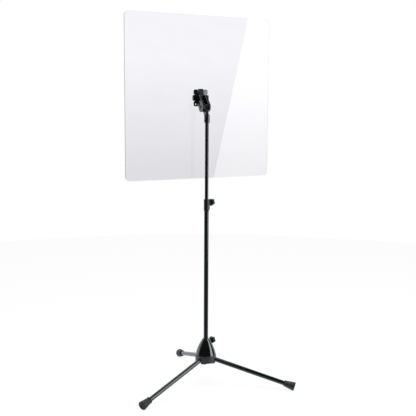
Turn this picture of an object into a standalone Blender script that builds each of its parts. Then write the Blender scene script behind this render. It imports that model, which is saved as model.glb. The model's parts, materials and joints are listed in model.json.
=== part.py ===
"""Clear acrylic shield on a telescoping pole with a folding three-leg base.

X runs along the panel's width, +Y points from the pole to the panel, +Z is up.
The origin is on the floor, in the middle of the box round the feet and the panel.
All sizes are in metres and all angles in degrees.
"""

import math

import bmesh
import bpy

# Fits and facets
FIT = 0.0003
LEG_SIDE_CLEARANCE = 0.0004
LEG_SLOT_CLEARANCE = 0.0007
TUBE_SIDES = 28
BELL_SIDES = 40
FOOT_SIDES = 20
MIDDLE_SIDES = 16
SMALL_SIDES = 12
ARC_STEPS = 5
SHARP_ANGLE = 35

# Legs
LEG_AZIMUTHS = {"right": -39.2, "back": 80.8, "left": 200.8}
LEG_SLOPE = 15.85
LEG_REACH = 0.398
LEG_TUBE_RADIUS = 0.0100
LEG_TUBE_WALL = 0.0012
LEG_TUBE_START = 0.0093
ROOT_SPIGOT_LENGTH = 0.025
TOE_RADIUS = 0.006
TOE_OVERLAP = 0.001
PIN_RADIUS = 0.0025

# Rubber feet
FOOT_LENGTH = 0.048
FOOT_SOLE = 0.010
FOOT_END_RADIUS = 0.0191
FOOT_RIM_ROUND = 0.003
FOOT_BAND = 0.009
FOOT_NECK_WALL = 0.0030
FOOT_LIP_HEIGHT = 0.0010
FOOT_LIP_LENGTH = 0.0040
FOOT_GROOVES = 4
FOOT_GROOVE_DEPTH = 0.0007
FOOT_FLAT_DEPTH = 0.0006

# Leg hub, the lower casting of the base
HUB_STEP = 0.0010
HUB_RISE = 0.0100
HUB_DROP = 0.0245
HUB_SKIRT = 0.0030
HUB_EAR = 0.0040
HUB_DECK = 0.0080
HUB_EDGE = 0.0012
HUB_BORE_CLEARANCE = 0.0020
HUB_ARCH_RISE = 0.0035
HUB_ARCH_HALF_SPAN = 0.0200

# Bell, the upper housing of the base
BELL_HEIGHT = 0.0707
BELL_RIM_RADIUS = 0.0455
BELL_BULGE = 0.0040
BELL_WALL = 0.0035
BELL_COLLAR_WALL = 0.0016
BELL_TUBE_WALL = 0.0040
BELL_STEPS = 8
CAVITY_START = 0.22
CAVITY_STEPS = 4
BOSS_RADIUS = 0.0065
BOSS_REACH = 0.0300
PILLAR_RADIUS = 0.0040
PILLAR_HEIGHT = 0.0160
PILLAR_INSET = 0.0095
BUSH_WALL = 0.0013
HUB_SCREW_RADIUS = 0.0020
HUB_SCREW_HEAD_RADIUS = 0.0036
HUB_SCREW_HEAD = 0.0024
HUB_SCREW_GRIP = 0.0090

# Lower pole and the disc on its end
POLE_RADIUS = 0.0100
POLE_WALL = 0.0012
LOWER_TUBE_LENGTH = 0.6760
LOCK_DISC_RADIUS = 0.0190
LOCK_DISC_THICKNESS = 0.0040
LOCK_SPIGOT_LENGTH = 0.0200
LIFT_SURPLUS = 1.03
LIFT_MARGIN = 0.0050

# Clamp knobs
KNOB_AZIMUTH = 20.8
KNOB_RADIUS = 0.0148
KNOB_LOBE = 0.0016
KNOB_LOBES = 5
KNOB_THICKNESS = 0.0140
KNOB_ROUND = 0.0025
KNOB_DISH_RADIUS = 0.0085
KNOB_DISH_DEPTH = 0.0012
KNOB_COLLAR_LENGTH = 0.0060
KNOB_COLLAR_RADIUS = 0.0062
KNOB_SCREW_DEPTH = 0.0100
BASE_SCREW_RADIUS = 0.0039
BASE_KNOB_DROP = 0.0170
CLUTCH_SCREW_RADIUS = 0.0029

# Height clutch
CLUTCH_GRIP = 0.0300
CLUTCH_RISE = 0.0230
CLUTCH_WALL = 0.0020
CLUTCH_TAPER = 0.0080
CLUTCH_LIP = 0.0020
CLUTCH_LINER_WALL = 0.0023
CLUTCH_KNOB_RISE = 0.0077
CLUTCH_RIB_RADIUS = 0.0060
CLUTCH_RIB_REACH = 0.0130
CLUTCH_BOSS_REACH = 0.0195

# Upper pole
MAST_RADIUS = 0.0080
MAST_WALL = 0.0010
MAST_LENGTH = 0.6300
MAST_SHOWING = 0.3296
GUIDE_FLANGE = 0.0060
GUIDE_SPIGOT = 0.0150

# Neck between the upper pole and the tilt joint
SOCKET_WALL = 0.0037
SOCKET_LENGTH = 0.0340
SOCKET_DEPTH = 0.0265
SOCKET_SCREW_RISE = 0.0110
SOCKET_SCREW_RADIUS = 0.0025
TILT_RISE = 0.0330
TILT_SETBACK = 0.0210
TONGUE_THICKNESS = 0.0150
TONGUE_RADIUS = 0.0125
TONGUE_ROOT_RADIUS = 0.0080
TONGUE_ROOT_DROP = 0.0080

# Tilt fork
CHEEK_RADIUS = 0.0215
CHEEK_THICKNESS = 0.0100
CHEEK_EDGE = 0.0015
WASHER_THICKNESS = 0.0009
WASHER_RADIUS = 0.0115
TILT_BOLT_RADIUS = 0.0039
TILT_HEAD_RADIUS = 0.0070
TILT_HEAD_THICKNESS = 0.0045
TILT_SOCKET_RADIUS = 0.0030
TILT_SOCKET_DEPTH = 0.0025
FORK_REACH = 0.0336
FORK_RISE = 0.0390
FORK_ARM_RADIUS = 0.0125
FORK_FLANGE_RADIUS = 0.0180
FORK_FLANGE_THICKNESS = 0.0060
FORK_WEB_DEPTH = 0.0110

# Panel bracket
BRACKET_THICKNESS = 0.0060
BRACKET_PLATE_THICKNESS = 0.0045
BRACKET_PLATE_STEP = 0.0005
BRACKET_PLATE_WIDTH = 0.0680
BRACKET_PLATE_HEIGHT = 0.0720
BRACKET_EAR_RADIUS = 0.0070
BRACKET_EAR_INSET = 0.0090
BRACKET_EAR_HOLE_RADIUS = 0.0030
BRACKET_ARM_WIDTH = 0.0260
BRACKET_ARM_SPAN_X = 0.0760
BRACKET_ARM_SPAN_Z = 0.0780
BRACKET_ARM_ROUND = 0.0040
BRACKET_ARM_TAPER = 0.0006
BRACKET_NOTCH_WIDTH = 0.0026
BRACKET_NOTCH_DEPTH = 0.0090
BRACKET_SIDE_NOTCH_DEPTH = 0.0040
BRACKET_SCREW_REACH = 0.0280
CENTRE_SCREW_RADIUS = 0.0039
CENTRE_SCREW_HEAD_RADIUS = 0.0077
CENTRE_SCREW_HEAD = 0.0030
CENTRE_SCREW_DEPTH = 0.0070

# Panel and its fasteners
PANEL_WIDTH = 0.7000
PANEL_HEIGHT = 0.7000
PANEL_THICKNESS = 0.0050
PANEL_CORNER_RADIUS = 0.0220
PAD_THICKNESS = 0.0015
PANEL_SCREW_RADIUS = 0.0024
PANEL_SCREW_HEAD_RADIUS = 0.0047
PANEL_SCREW_HEAD = 0.0026
PANEL_WASHER_RADIUS = 0.0075
PANEL_WASHER_THICKNESS = 0.0012

# Turns, as Euler angles in radians, that lay a piece's own Z along another line
QUARTER = math.pi / 2
ALONG_X = (0.0, QUARTER, 0.0)
ALONG_Y = (-QUARTER, 0.0, 0.0)
FACING_Y = (QUARTER, 0.0, 0.0)
SIDE_ON = (QUARTER, 0.0, QUARTER)

# Legs and hub, worked out from the sizes above
SLOPE = math.radians(LEG_SLOPE)
LEG_RUN = LEG_REACH / math.cos(SLOPE)
AXIS_HEIGHT = (
    (LEG_RUN - FOOT_RIM_ROUND) * math.sin(SLOPE)
    + (FOOT_END_RADIUS - FOOT_RIM_ROUND) * math.cos(SLOPE)
    + FOOT_RIM_ROUND
    - FOOT_FLAT_DEPTH
)
PIVOT_REACH = LOCK_DISC_RADIUS + LEG_TUBE_RADIUS + TOE_OVERLAP
PIVOT_HEIGHT = AXIS_HEIGHT - PIVOT_REACH * math.tan(SLOPE)
TOE_LENGTH = PIVOT_REACH - LOCK_DISC_RADIUS + TOE_OVERLAP
LEG_FROM_PIVOT = LEG_RUN - PIVOT_REACH / math.cos(SLOPE)
CHANNEL_HALF = LEG_TUBE_RADIUS + LEG_SIDE_CLEARANCE
SLOT_HALF = LEG_TUBE_RADIUS + LEG_SLOT_CLEARANCE
HUB_TOP = AXIS_HEIGHT + HUB_RISE
HUB_BOTTOM = AXIS_HEIGHT - HUB_DROP
HUB_RADIUS = BELL_RIM_RADIUS + HUB_STEP
HUB_BORE = LOCK_DISC_RADIUS + HUB_BORE_CLEARANCE

# Poles, from the toes upward
DISC_BOTTOM = PIVOT_HEIGHT + TOE_LENGTH * math.sin(SLOPE) + TOE_RADIUS + FIT
DISC_TOP = DISC_BOTTOM + LOCK_DISC_THICKNESS
LEG_FOLD = QUARTER - SLOPE
LIFT = LEG_FOLD * TOE_LENGTH * LIFT_SURPLUS
POLE_BOTTOM = DISC_TOP + FIT
POLE_TOP = POLE_BOTTOM + LOWER_TUBE_LENGTH
POLE_BORE = POLE_RADIUS - POLE_WALL
CLUTCH_TOP = POLE_TOP + CLUTCH_RISE
SOCKET_BOTTOM = CLUTCH_TOP + MAST_SHOWING
SOCKET_TOP = SOCKET_BOTTOM + SOCKET_LENGTH
MAST_TOP = SOCKET_BOTTOM + SOCKET_DEPTH - FIT
MAST_BOTTOM = MAST_TOP - MAST_LENGTH
MAST_BORE = MAST_RADIUS - MAST_WALL

# Bell and bush
BELL_BOTTOM = HUB_TOP + FIT
BELL_TOP = BELL_BOTTOM + BELL_HEIGHT
BUSH_BORE = POLE_RADIUS + FIT
BUSH_RADIUS = BUSH_BORE + BUSH_WALL
BELL_BORE = BUSH_RADIUS + FIT
BELL_COLLAR_RADIUS = BELL_BORE + BELL_COLLAR_WALL
BELL_TUBE_RADIUS = BELL_BORE + BELL_TUBE_WALL
BELL_TUBE_BOTTOM = DISC_TOP + LIFT + LIFT_MARGIN
PILLAR_REACH = BELL_RIM_RADIUS - PILLAR_INSET
BASE_KNOB_HEIGHT = BELL_TOP - BASE_KNOB_DROP

# Clutch
CLUTCH_BORE = POLE_RADIUS + FIT
CLUTCH_RADIUS = POLE_RADIUS + CLUTCH_WALL
LINER_BORE = MAST_RADIUS + FIT
LINER_RADIUS = LINER_BORE + CLUTCH_LINER_WALL
LINER_SEAT = LINER_RADIUS + FIT
CLUTCH_KNOB_HEIGHT = POLE_TOP + CLUTCH_KNOB_RISE

# Head
SOCKET_BORE = MAST_RADIUS + FIT
SOCKET_RADIUS = SOCKET_BORE + SOCKET_WALL
TILT_HEIGHT = SOCKET_TOP + TILT_RISE
TONGUE_HALF = TONGUE_THICKNESS / 2
CHEEK_INNER = TONGUE_HALF + FIT + WASHER_THICKNESS + FIT
CHEEK_OUTER = CHEEK_INNER + CHEEK_THICKNESS
TILT_HOLE = TILT_BOLT_RADIUS + FIT
TILT_RECESS_RADIUS = TILT_HEAD_RADIUS + FIT
TILT_RECESS_DEPTH = TILT_HEAD_THICKNESS + FIT

# Bracket and panel, as distances in Y from the tilt axis and heights above it
BRACKET_REAR = FORK_REACH + FIT
BRACKET_FACE = BRACKET_REAR + BRACKET_THICKNESS
PAD_MIDDLE = BRACKET_FACE + FIT + PAD_THICKNESS / 2
PANEL_REAR = BRACKET_FACE + FIT + PAD_THICKNESS + FIT
PANEL_FACE = PANEL_REAR + PANEL_THICKNESS
PANEL_MIDDLE = PANEL_REAR + PANEL_THICKNESS / 2
PANEL_HOLE = PANEL_SCREW_RADIUS + FIT

PARTS = "acrylic_shield_with_stand"
CUTTERS = "cutters"


def clear_scene():
    for item in list(bpy.data.objects):
        bpy.data.objects.remove(item, do_unlink=True)


def add_collection(name):
    collection = bpy.data.collections.new(name)
    bpy.context.scene.collection.children.link(collection)
    return collection


def finish_material(name, colour, roughness, metallic=0.0, transmission=0.0):
    material = bpy.data.materials.new(name)
    material.use_nodes = True
    shader = material.node_tree.nodes["Principled BSDF"]
    shader.inputs["Base Color"].default_value = (*colour, 1.0)
    shader.inputs["Roughness"].default_value = roughness
    shader.inputs["Metallic"].default_value = metallic
    shader.inputs["Transmission Weight"].default_value = transmission
    return material


def make_materials():
    return {
        "gloss black paint": finish_material("gloss black paint", (0.010, 0.011, 0.013), 0.18),
        "satin casting": finish_material("satin casting", (0.035, 0.036, 0.040), 0.45),
        "black plastic": finish_material("black plastic", (0.014, 0.015, 0.017), 0.38),
        "grey nylon": finish_material("grey nylon", (0.22, 0.22, 0.23), 0.50),
        "rubber": finish_material("rubber", (0.018, 0.019, 0.024), 0.75),
        "zinc steel": finish_material("zinc steel", (0.55, 0.56, 0.57), 0.32, 1.0),
        "black steel": finish_material("black steel", (0.030, 0.030, 0.032), 0.35, 0.9),
        "clear acrylic": finish_material("clear acrylic", (0.93, 0.94, 0.97), 0.03, 0.0, 1.0),
    }


def add_empty(name, parent, at=(0.0, 0.0, 0.0), turn=(0.0, 0.0, 0.0)):
    empty = bpy.data.objects.new(name, None)
    bpy.data.collections[PARTS].objects.link(empty)
    empty.parent = parent
    empty.location = at
    empty.rotation_euler = turn
    return empty


def add_solid(name, mesh, parent, at=(0.0, 0.0, 0.0), turn=(0.0, 0.0, 0.0), finish=None):
    """Link a mesh as a part where it has a finish, and as a hidden cutter where it has none."""
    solid = bpy.data.objects.new(name, mesh)
    solid.parent = parent
    solid.location = at
    solid.rotation_euler = turn
    if finish:
        mesh.materials.append(bpy.data.materials[finish])
        bpy.data.collections[PARTS].objects.link(solid)
    else:
        solid.hide_render = True
        solid.display_type = "WIRE"
        bpy.data.collections[CUTTERS].objects.link(solid)
    return solid


def evaluated_mesh(solid):
    bpy.context.view_layer.update()
    shown = solid.evaluated_get(bpy.context.evaluated_depsgraph_get())
    return bpy.data.meshes.new_from_object(shown)


def turned(name, profile, sides=TUBE_SIDES, ring=False, **where):
    """Turn a profile of (radius, height) points round Z, listed down the outer side first."""
    mesh = bpy.data.meshes.new(name)
    count = len(profile)
    edges = [(i, i + 1) for i in range(count - 1)]
    if ring:
        edges.append((count - 1, 0))
    mesh.from_pydata([(radius, 0.0, height) for radius, height in profile], edges, [])
    solid = add_solid(name, mesh, **where)
    screw = solid.modifiers.new("Turn", "SCREW")
    screw.axis = "Z"
    screw.angle = math.tau
    screw.steps = sides
    screw.render_steps = sides
    screw.use_merge_vertices = True
    screw.merge_threshold = 0.00001
    screw.use_smooth_shade = True
    return solid


def pipe(name, outer, inner, bottom, top, sides=TUBE_SIDES, **where):
    profile = [(outer, top), (outer, bottom), (inner, bottom), (inner, top)]
    return turned(name, profile, sides, ring=True, **where)


def rod(name, radius, bottom, top, sides=SMALL_SIDES, **where):
    mesh = bpy.data.meshes.new(name)
    cylinder = bmesh.new()
    bmesh.ops.create_cone(cylinder, cap_ends=True, segments=sides, radius1=radius,
                          radius2=radius, depth=top - bottom)
    bmesh.ops.translate(cylinder, vec=(0, 0, (bottom + top) / 2), verts=cylinder.verts)
    cylinder.to_mesh(mesh)
    cylinder.free()
    mesh.shade_smooth()
    mesh.set_sharp_from_angle(angle=math.radians(SHARP_ANGLE))
    return add_solid(name, mesh, **where)


def block(name, low, high, **where):
    mesh = bpy.data.meshes.new(name)
    cube = bmesh.new()
    bmesh.ops.create_cube(cube, size=1.0)
    for vertex in cube.verts:
        for i in range(3):
            middle = (low[i] + high[i]) / 2
            vertex.co[i] = middle + vertex.co[i] * (high[i] - low[i])
    cube.to_mesh(mesh)
    cube.free()
    return add_solid(name, mesh, **where)


def flat_solid(name, outline, thickness, **where):
    """Extrude a flat outline by its thickness, half each way, and weld its caps."""
    curve = bpy.data.curves.new(name, "CURVE")
    curve.dimensions = "2D"
    curve.fill_mode = "BOTH"
    curve.extrude = thickness / 2
    spline = curve.splines.new("POLY")
    spline.points.add(len(outline) - 1)
    for point, (x, y) in zip(spline.points, outline):
        point.co = (x, y, 0.0, 1.0)
    spline.use_cyclic_u = True
    drawn = bpy.data.objects.new(name, curve)
    bpy.data.collections[CUTTERS].objects.link(drawn)
    mesh = evaluated_mesh(drawn)
    bpy.data.objects.remove(drawn)
    bpy.data.curves.remove(curve)
    welded = bmesh.new()
    welded.from_mesh(mesh)
    bmesh.ops.remove_doubles(welded, verts=welded.verts, dist=0.000005)
    bmesh.ops.recalc_face_normals(welded, faces=welded.faces)
    welded.to_mesh(mesh)
    welded.free()
    mesh.name = name
    mesh.shade_smooth()
    mesh.set_sharp_from_angle(angle=math.radians(SHARP_ANGLE))
    return add_solid(name, mesh, **where)


def boolean(solid, tool, operation):
    step = solid.modifiers.new(tool.name, "BOOLEAN")
    step.operation = operation
    step.object = tool
    return solid


def cut(solid, *tools):
    for tool in tools:
        boolean(solid, tool, "DIFFERENCE")


def join(solid, *tools):
    for tool in tools:
        boolean(solid, tool, "UNION")


def round_edges(solid, width, segments=2, angle=50):
    bevel = solid.modifiers.new("Round edges", "BEVEL")
    bevel.width = width
    bevel.segments = segments
    bevel.limit_method = "ANGLE"
    bevel.angle_limit = math.radians(angle)
    return solid


def arc(centre_x, centre_y, radius, start, end, steps=ARC_STEPS):
    """Points on an arc from one angle to another, in degrees."""
    points = []
    for i in range(steps + 1):
        angle = math.radians(start + (end - start) * i / steps)
        points.append((centre_x + radius * math.cos(angle), centre_y + radius * math.sin(angle)))
    return points


def rounded_rectangle(width, height, radius, steps=ARC_STEPS):
    points = []
    for corner, (side_x, side_y) in enumerate([(1, 1), (-1, 1), (-1, -1), (1, -1)]):
        x = side_x * (width / 2 - radius)
        y = side_y * (height / 2 - radius)
        points += arc(x, y, radius, 90 * corner, 90 * corner + 90, steps)
    return points


def strap(big, big_radius, small, small_radius, steps=8):
    """The outline of a band pulled tight round two circles."""
    across = small[0] - big[0]
    along = small[1] - big[1]
    heading = math.degrees(math.atan2(along, across))
    lean = math.degrees(math.acos((big_radius - small_radius) / math.hypot(across, along)))
    far_side = arc(*big, big_radius, heading + lean, heading + 360 - lean, 2 * steps)
    near_side = arc(*small, small_radius, heading - lean, heading + lean, steps)
    return far_side + near_side


def lobed_outline():
    """The knob's rim, a circle with shallow waves."""
    points = []
    count = 6 * KNOB_LOBES
    for i in range(count):
        angle = math.tau * i / count
        radius = KNOB_RADIUS + KNOB_LOBE * math.cos(KNOB_LOBES * angle)
        points.append((radius * math.cos(angle), radius * math.sin(angle)))
    return points


def footprint_middle():
    """Where the middle of the box round feet and panel lies, seen from the pole."""
    xs = [-PANEL_WIDTH / 2, PANEL_WIDTH / 2]
    ys = [TILT_SETBACK + PANEL_REAR]
    for azimuth in LEG_AZIMUTHS.values():
        heading = (math.cos(math.radians(azimuth)), math.sin(math.radians(azimuth)))
        for part, values in zip(heading, (xs, ys)):
            spread = FOOT_END_RADIUS * math.sqrt(1 - (math.cos(SLOPE) * part) ** 2)
            values += [LEG_REACH * part - spread, LEG_REACH * part + spread]
    return (min(xs) + max(xs)) / 2, (min(ys) + max(ys)) / 2


def bell_curve(share):
    """Radius and height on the bell's outer face, from the collar at 0 to the rim at 1."""
    radius = BELL_COLLAR_RADIUS + (BELL_RIM_RADIUS - BELL_COLLAR_RADIUS) * share
    height = BELL_TOP - BELL_HEIGHT * share
    chord = math.hypot(BELL_RIM_RADIUS - BELL_COLLAR_RADIUS, BELL_HEIGHT)
    swell = 4 * BELL_BULGE * share * (1 - share) / chord
    return (
        radius + swell * BELL_HEIGHT,
        height + swell * (BELL_RIM_RADIUS - BELL_COLLAR_RADIUS),
    )


def bell_profile():
    outer = [bell_curve(i / BELL_STEPS) for i in range(BELL_STEPS + 1)]
    inner = []
    for i in range(CAVITY_STEPS, -1, -1):
        share = CAVITY_START + (1 - CAVITY_START) * i / CAVITY_STEPS
        radius, height = bell_curve(share)
        inner.append((radius - BELL_WALL, height))
    cavity_top = inner[-1][1]
    tube = [
        (BELL_TUBE_RADIUS, cavity_top),
        (BELL_TUBE_RADIUS, BELL_TUBE_BOTTOM),
        (BELL_BORE, BELL_TUBE_BOTTOM),
        (BELL_BORE, BELL_TOP),
    ]
    return outer + inner + tube


def make_bell(stand):
    bell = turned("bell_housing", bell_profile(), BELL_SIDES, ring=True, parent=stand,
                  finish="gloss black paint")
    radial = {"parent": stand, "at": (0, 0, BASE_KNOB_HEIGHT),
              "turn": (0, QUARTER, math.radians(KNOB_AZIMUTH))}
    boss_start = BELL_BORE + BELL_TUBE_WALL / 2
    join(bell, rod("guide_bell_boss", BOSS_RADIUS, boss_start, BOSS_REACH, **radial))
    for name, azimuth in LEG_AZIMUTHS.items():
        x, y = polar(PILLAR_REACH, azimuth + 60)
        where = {"parent": stand, "at": (x, y, BELL_BOTTOM)}
        join(bell, rod("guide_pillar_" + name, PILLAR_RADIUS, 0, PILLAR_HEIGHT, **where))
        hole = rod("cutter_pillar_hole_" + name, HUB_SCREW_RADIUS + FIT, -FIT,
                   HUB_SCREW_GRIP + FIT, **where)
        cut(bell, hole)
    hole_radius = BASE_SCREW_RADIUS + FIT
    cut(bell, rod("cutter_bell_screw", hole_radius, POLE_RADIUS, BOSS_REACH + FIT, **radial))
    return bell


def polar(reach, azimuth):
    angle = math.radians(azimuth)
    return reach * math.cos(angle), reach * math.sin(angle)


def pocket_outline():
    """A cored pocket between two leg channels, its middle on +X."""
    inner = HUB_BORE + HUB_SKIRT
    outer = HUB_RADIUS - HUB_SKIRT
    wall = CHANNEL_HALF + HUB_EAR
    inner_half = 60 - math.degrees(math.asin(wall / inner))
    outer_half = 60 - math.degrees(math.asin(wall / outer))
    return arc(0, 0, outer, -outer_half, outer_half) + arc(0, 0, inner, inner_half, -inner_half)


def leg_slot_outline():
    """The way out for a leg: a round top that fits the tube, open below."""
    top = arc(0, 0, SLOT_HALF, 0, 180, 12)
    return top + [(-SLOT_HALF, -HUB_DROP * 2), (SLOT_HALF, -HUB_DROP * 2)]


def make_hub(stand):
    profile = [
        (HUB_BORE, HUB_TOP),
        (HUB_RADIUS, HUB_TOP),
        (HUB_RADIUS, HUB_BOTTOM + HUB_EDGE),
        (HUB_RADIUS - HUB_EDGE, HUB_BOTTOM),
        (HUB_BORE, HUB_BOTTOM),
    ]
    hub = turned("leg_hub", profile, BELL_SIDES, ring=True, parent=stand, finish="satin casting")
    pocket_top = HUB_TOP - HUB_DECK
    pocket_height = pocket_top - HUB_BOTTOM + HUB_DROP
    slot_start = HUB_RADIUS - 2 * HUB_SKIRT
    slot_end = HUB_RADIUS + HUB_DROP
    arch_radius = (HUB_ARCH_HALF_SPAN**2 + HUB_ARCH_RISE**2) / (2 * HUB_ARCH_RISE)
    for name, azimuth in LEG_AZIMUTHS.items():
        line = math.radians(azimuth)
        between = math.radians(azimuth + 60)
        channel = block(
            "cutter_channel_" + name,
            (HUB_BORE / 2, -CHANNEL_HALF, HUB_BOTTOM - HUB_EDGE),
            (HUB_RADIUS - HUB_SKIRT, CHANNEL_HALF, HUB_TOP + HUB_EDGE),
            parent=stand, turn=(0, 0, line))
        slot_frame = add_empty("slot_line_" + name, stand, (0, 0, AXIS_HEIGHT), (0, SLOPE, line))
        slot = flat_solid(
            "cutter_slot_" + name, leg_slot_outline(), slot_end - slot_start,
            parent=slot_frame, at=((slot_start + slot_end) / 2, 0, 0), turn=SIDE_ON)
        pocket = flat_solid(
            "cutter_pocket_" + name, pocket_outline(), pocket_height,
            parent=stand, at=(0, 0, pocket_top - pocket_height / 2), turn=(0, 0, between))
        arch = rod(
            "cutter_arch_" + name, arch_radius, HUB_RADIUS - 2 * HUB_SKIRT, slot_end, 96,
            parent=stand, at=(0, 0, HUB_BOTTOM + HUB_ARCH_RISE - arch_radius),
            turn=(0, QUARTER, between))
        x, y = polar(PIVOT_REACH, azimuth)
        half = CHANNEL_HALF + HUB_EAR + FIT
        pin_hole = rod(
            "cutter_pin_hole_" + name, PIN_RADIUS + FIT, -half, half,
            parent=stand, at=(x, y, PIVOT_HEIGHT), turn=(QUARTER, 0, line))
        x, y = polar(PILLAR_REACH, azimuth + 60)
        screw_hole = rod(
            "cutter_hub_screw_" + name, HUB_SCREW_RADIUS + FIT, pocket_top - FIT, HUB_TOP + FIT,
            parent=stand, at=(x, y, 0))
        cut(hub, channel, slot, pocket, arch, pin_hole, screw_hole)
    return hub


def make_hub_screws(stand):
    head_top = HUB_TOP - HUB_DECK - FIT
    tip = BELL_BOTTOM + HUB_SCREW_GRIP
    profile = [
        (0.0, tip),
        (HUB_SCREW_RADIUS, tip),
        (HUB_SCREW_RADIUS, head_top),
        (HUB_SCREW_HEAD_RADIUS, head_top),
        (HUB_SCREW_HEAD_RADIUS, head_top - HUB_SCREW_HEAD / 2),
        (HUB_SCREW_HEAD_RADIUS * 0.7, head_top - HUB_SCREW_HEAD),
        (0.0, head_top - HUB_SCREW_HEAD),
    ]
    for i, azimuth in enumerate(LEG_AZIMUTHS.values()):
        x, y = polar(PILLAR_REACH, azimuth + 60)
        turned("hub_screw_" + str(i + 1), profile, SMALL_SIDES, parent=stand, at=(x, y, 0),
               finish="zinc steel")


def make_pole_bush(stand):
    bush = pipe("pole_bush", BUSH_RADIUS, BUSH_BORE, BELL_TUBE_BOTTOM + FIT, BELL_TOP - FIT,
                parent=stand, finish="grey nylon")
    window = rod("cutter_bush_window", BASE_SCREW_RADIUS + FIT, 0, BELL_BORE,
                 parent=stand, at=(0, 0, BASE_KNOB_HEIGHT),
                 turn=(0, QUARTER, math.radians(KNOB_AZIMUTH)))
    cut(bush, window)
    return bush


def root_head_outline():
    """Side view of a leg root: a rounded toe, then a block as deep as the tube."""
    depth = LEG_TUBE_RADIUS - FIT
    toe = arc(-TOE_LENGTH, 0, TOE_RADIUS, 100, 260, 8)
    shoulder = -TOE_LENGTH / 4
    back = LEG_TUBE_START - FIT
    return toe + [(shoulder, -depth), (back, -depth), (back, depth), (shoulder, depth)]


def foot_profile():
    """Down the outside from the middle of the sole to the mouth, then up the bore."""
    bore = LEG_TUBE_RADIUS + FIT
    neck = bore + FOOT_NECK_WALL
    rim_centre = (FOOT_END_RADIUS - FOOT_RIM_ROUND, FOOT_LENGTH - FOOT_RIM_ROUND)
    points = [(0.0, FOOT_LENGTH)] + arc(*rim_centre, FOOT_RIM_ROUND, 90, 0, 3)
    cone_top = FOOT_LENGTH - FOOT_BAND
    cone_end = FOOT_END_RADIUS - FOOT_GROOVE_DEPTH
    pitch = (cone_top - FOOT_LIP_LENGTH) / FOOT_GROOVES
    points.append((FOOT_END_RADIUS, cone_top))
    for i in range(FOOT_GROOVES):
        for step, sunk in ((0.12, 1), (0.26, 0)):
            height = cone_top - pitch * (i + step)
            share = (height - FOOT_LIP_LENGTH) / (cone_top - FOOT_LIP_LENGTH)
            radius = neck + (cone_end - neck) * share
            points.append((radius - FOOT_GROOVE_DEPTH * sunk, height))
    points.append((neck - FOOT_GROOVE_DEPTH, FOOT_LIP_LENGTH))
    points += [
        (neck + FOOT_LIP_HEIGHT, FOOT_LIP_LENGTH * 0.75),
        (neck + FOOT_LIP_HEIGHT, FOOT_LIP_LENGTH * 0.25),
        (neck, 0.0),
        (bore, 0.0),
        (bore, FOOT_LENGTH - FOOT_SOLE),
        (0.0, FOOT_LENGTH - FOOT_SOLE),
    ]
    return points


def make_leg(side, azimuth, stand, floor):
    x, y = polar(PIVOT_REACH, azimuth)
    line = math.radians(azimuth)
    pivot = add_empty("leg_pivot_" + side, stand, (x, y, PIVOT_HEIGHT), (0, SLOPE, line))

    half = CHANNEL_HALF + HUB_EAR - FIT
    rod("pivot_pin_" + side, PIN_RADIUS, -half, half, parent=stand, at=(x, y, PIVOT_HEIGHT),
        turn=(QUARTER, 0, line), finish="zinc steel")

    bore = LEG_TUBE_RADIUS - LEG_TUBE_WALL
    head_width = 2 * (CHANNEL_HALF - LEG_SIDE_CLEARANCE)
    root = flat_solid("leg_root_" + side, root_head_outline(), head_width, parent=pivot,
                      turn=FACING_Y, finish="satin casting")
    spigot_end = LEG_TUBE_START + ROOT_SPIGOT_LENGTH
    join(root, rod("guide_spigot_" + side, bore - FIT, 0, spigot_end, MIDDLE_SIDES,
                   parent=pivot, turn=ALONG_X))
    cut(root, rod("cutter_root_hole_" + side, PIN_RADIUS + FIT, -CHANNEL_HALF, CHANNEL_HALF,
                  parent=pivot, turn=FACING_Y))

    tube_end = LEG_FROM_PIVOT - FOOT_SOLE - FIT
    pipe("leg_tube_" + side, LEG_TUBE_RADIUS, bore, LEG_TUBE_START, tube_end,
         parent=pivot, turn=ALONG_X, finish="gloss black paint")

    foot = turned("rubber_foot_" + side, foot_profile(), FOOT_SIDES, parent=pivot,
                  at=(LEG_FROM_PIVOT - FOOT_LENGTH, 0, 0), turn=ALONG_X, finish="rubber")
    cut(foot, floor)


def make_legs(stand):
    margin = LEG_REACH + 2 * FOOT_END_RADIUS
    floor = block("cutter_floor", (-margin, -margin, -FOOT_END_RADIUS), (margin, margin, 0.0),
                  parent=stand)
    for side, azimuth in LEG_AZIMUTHS.items():
        make_leg(side, azimuth, stand, floor)


def make_knob(name, screw_radius, tip, boss_end, stand, height):
    """A lobed knob on a radial screw, both measured out from the pole's axis."""
    axis = add_empty(name + "_axis", stand, (0, 0, height),
                     (0, QUARTER, math.radians(KNOB_AZIMUTH)))
    collar_start = boss_end + 2 * FIT
    body_start = collar_start + KNOB_COLLAR_LENGTH
    body_end = body_start + KNOB_THICKNESS
    screw_end = body_start + KNOB_SCREW_DEPTH
    knob = flat_solid(name, lobed_outline(), KNOB_THICKNESS, parent=axis,
                      at=(0, 0, (body_start + body_end) / 2), finish="black plastic")
    round_edges(knob, KNOB_ROUND)
    join(knob, rod("guide_collar_" + name, KNOB_COLLAR_RADIUS, collar_start,
                   body_start + KNOB_THICKNESS / 2, MIDDLE_SIDES, parent=axis))
    cut(knob,
        rod("cutter_screw_" + name, screw_radius + FIT, collar_start - FIT, screw_end + FIT,
            parent=axis),
        rod("cutter_dish_" + name, KNOB_DISH_RADIUS, body_end - KNOB_DISH_DEPTH,
            body_end + KNOB_DISH_DEPTH, MIDDLE_SIDES, parent=axis))
    rod(name + "_screw", screw_radius, tip, screw_end, parent=axis, finish="zinc steel")


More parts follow.
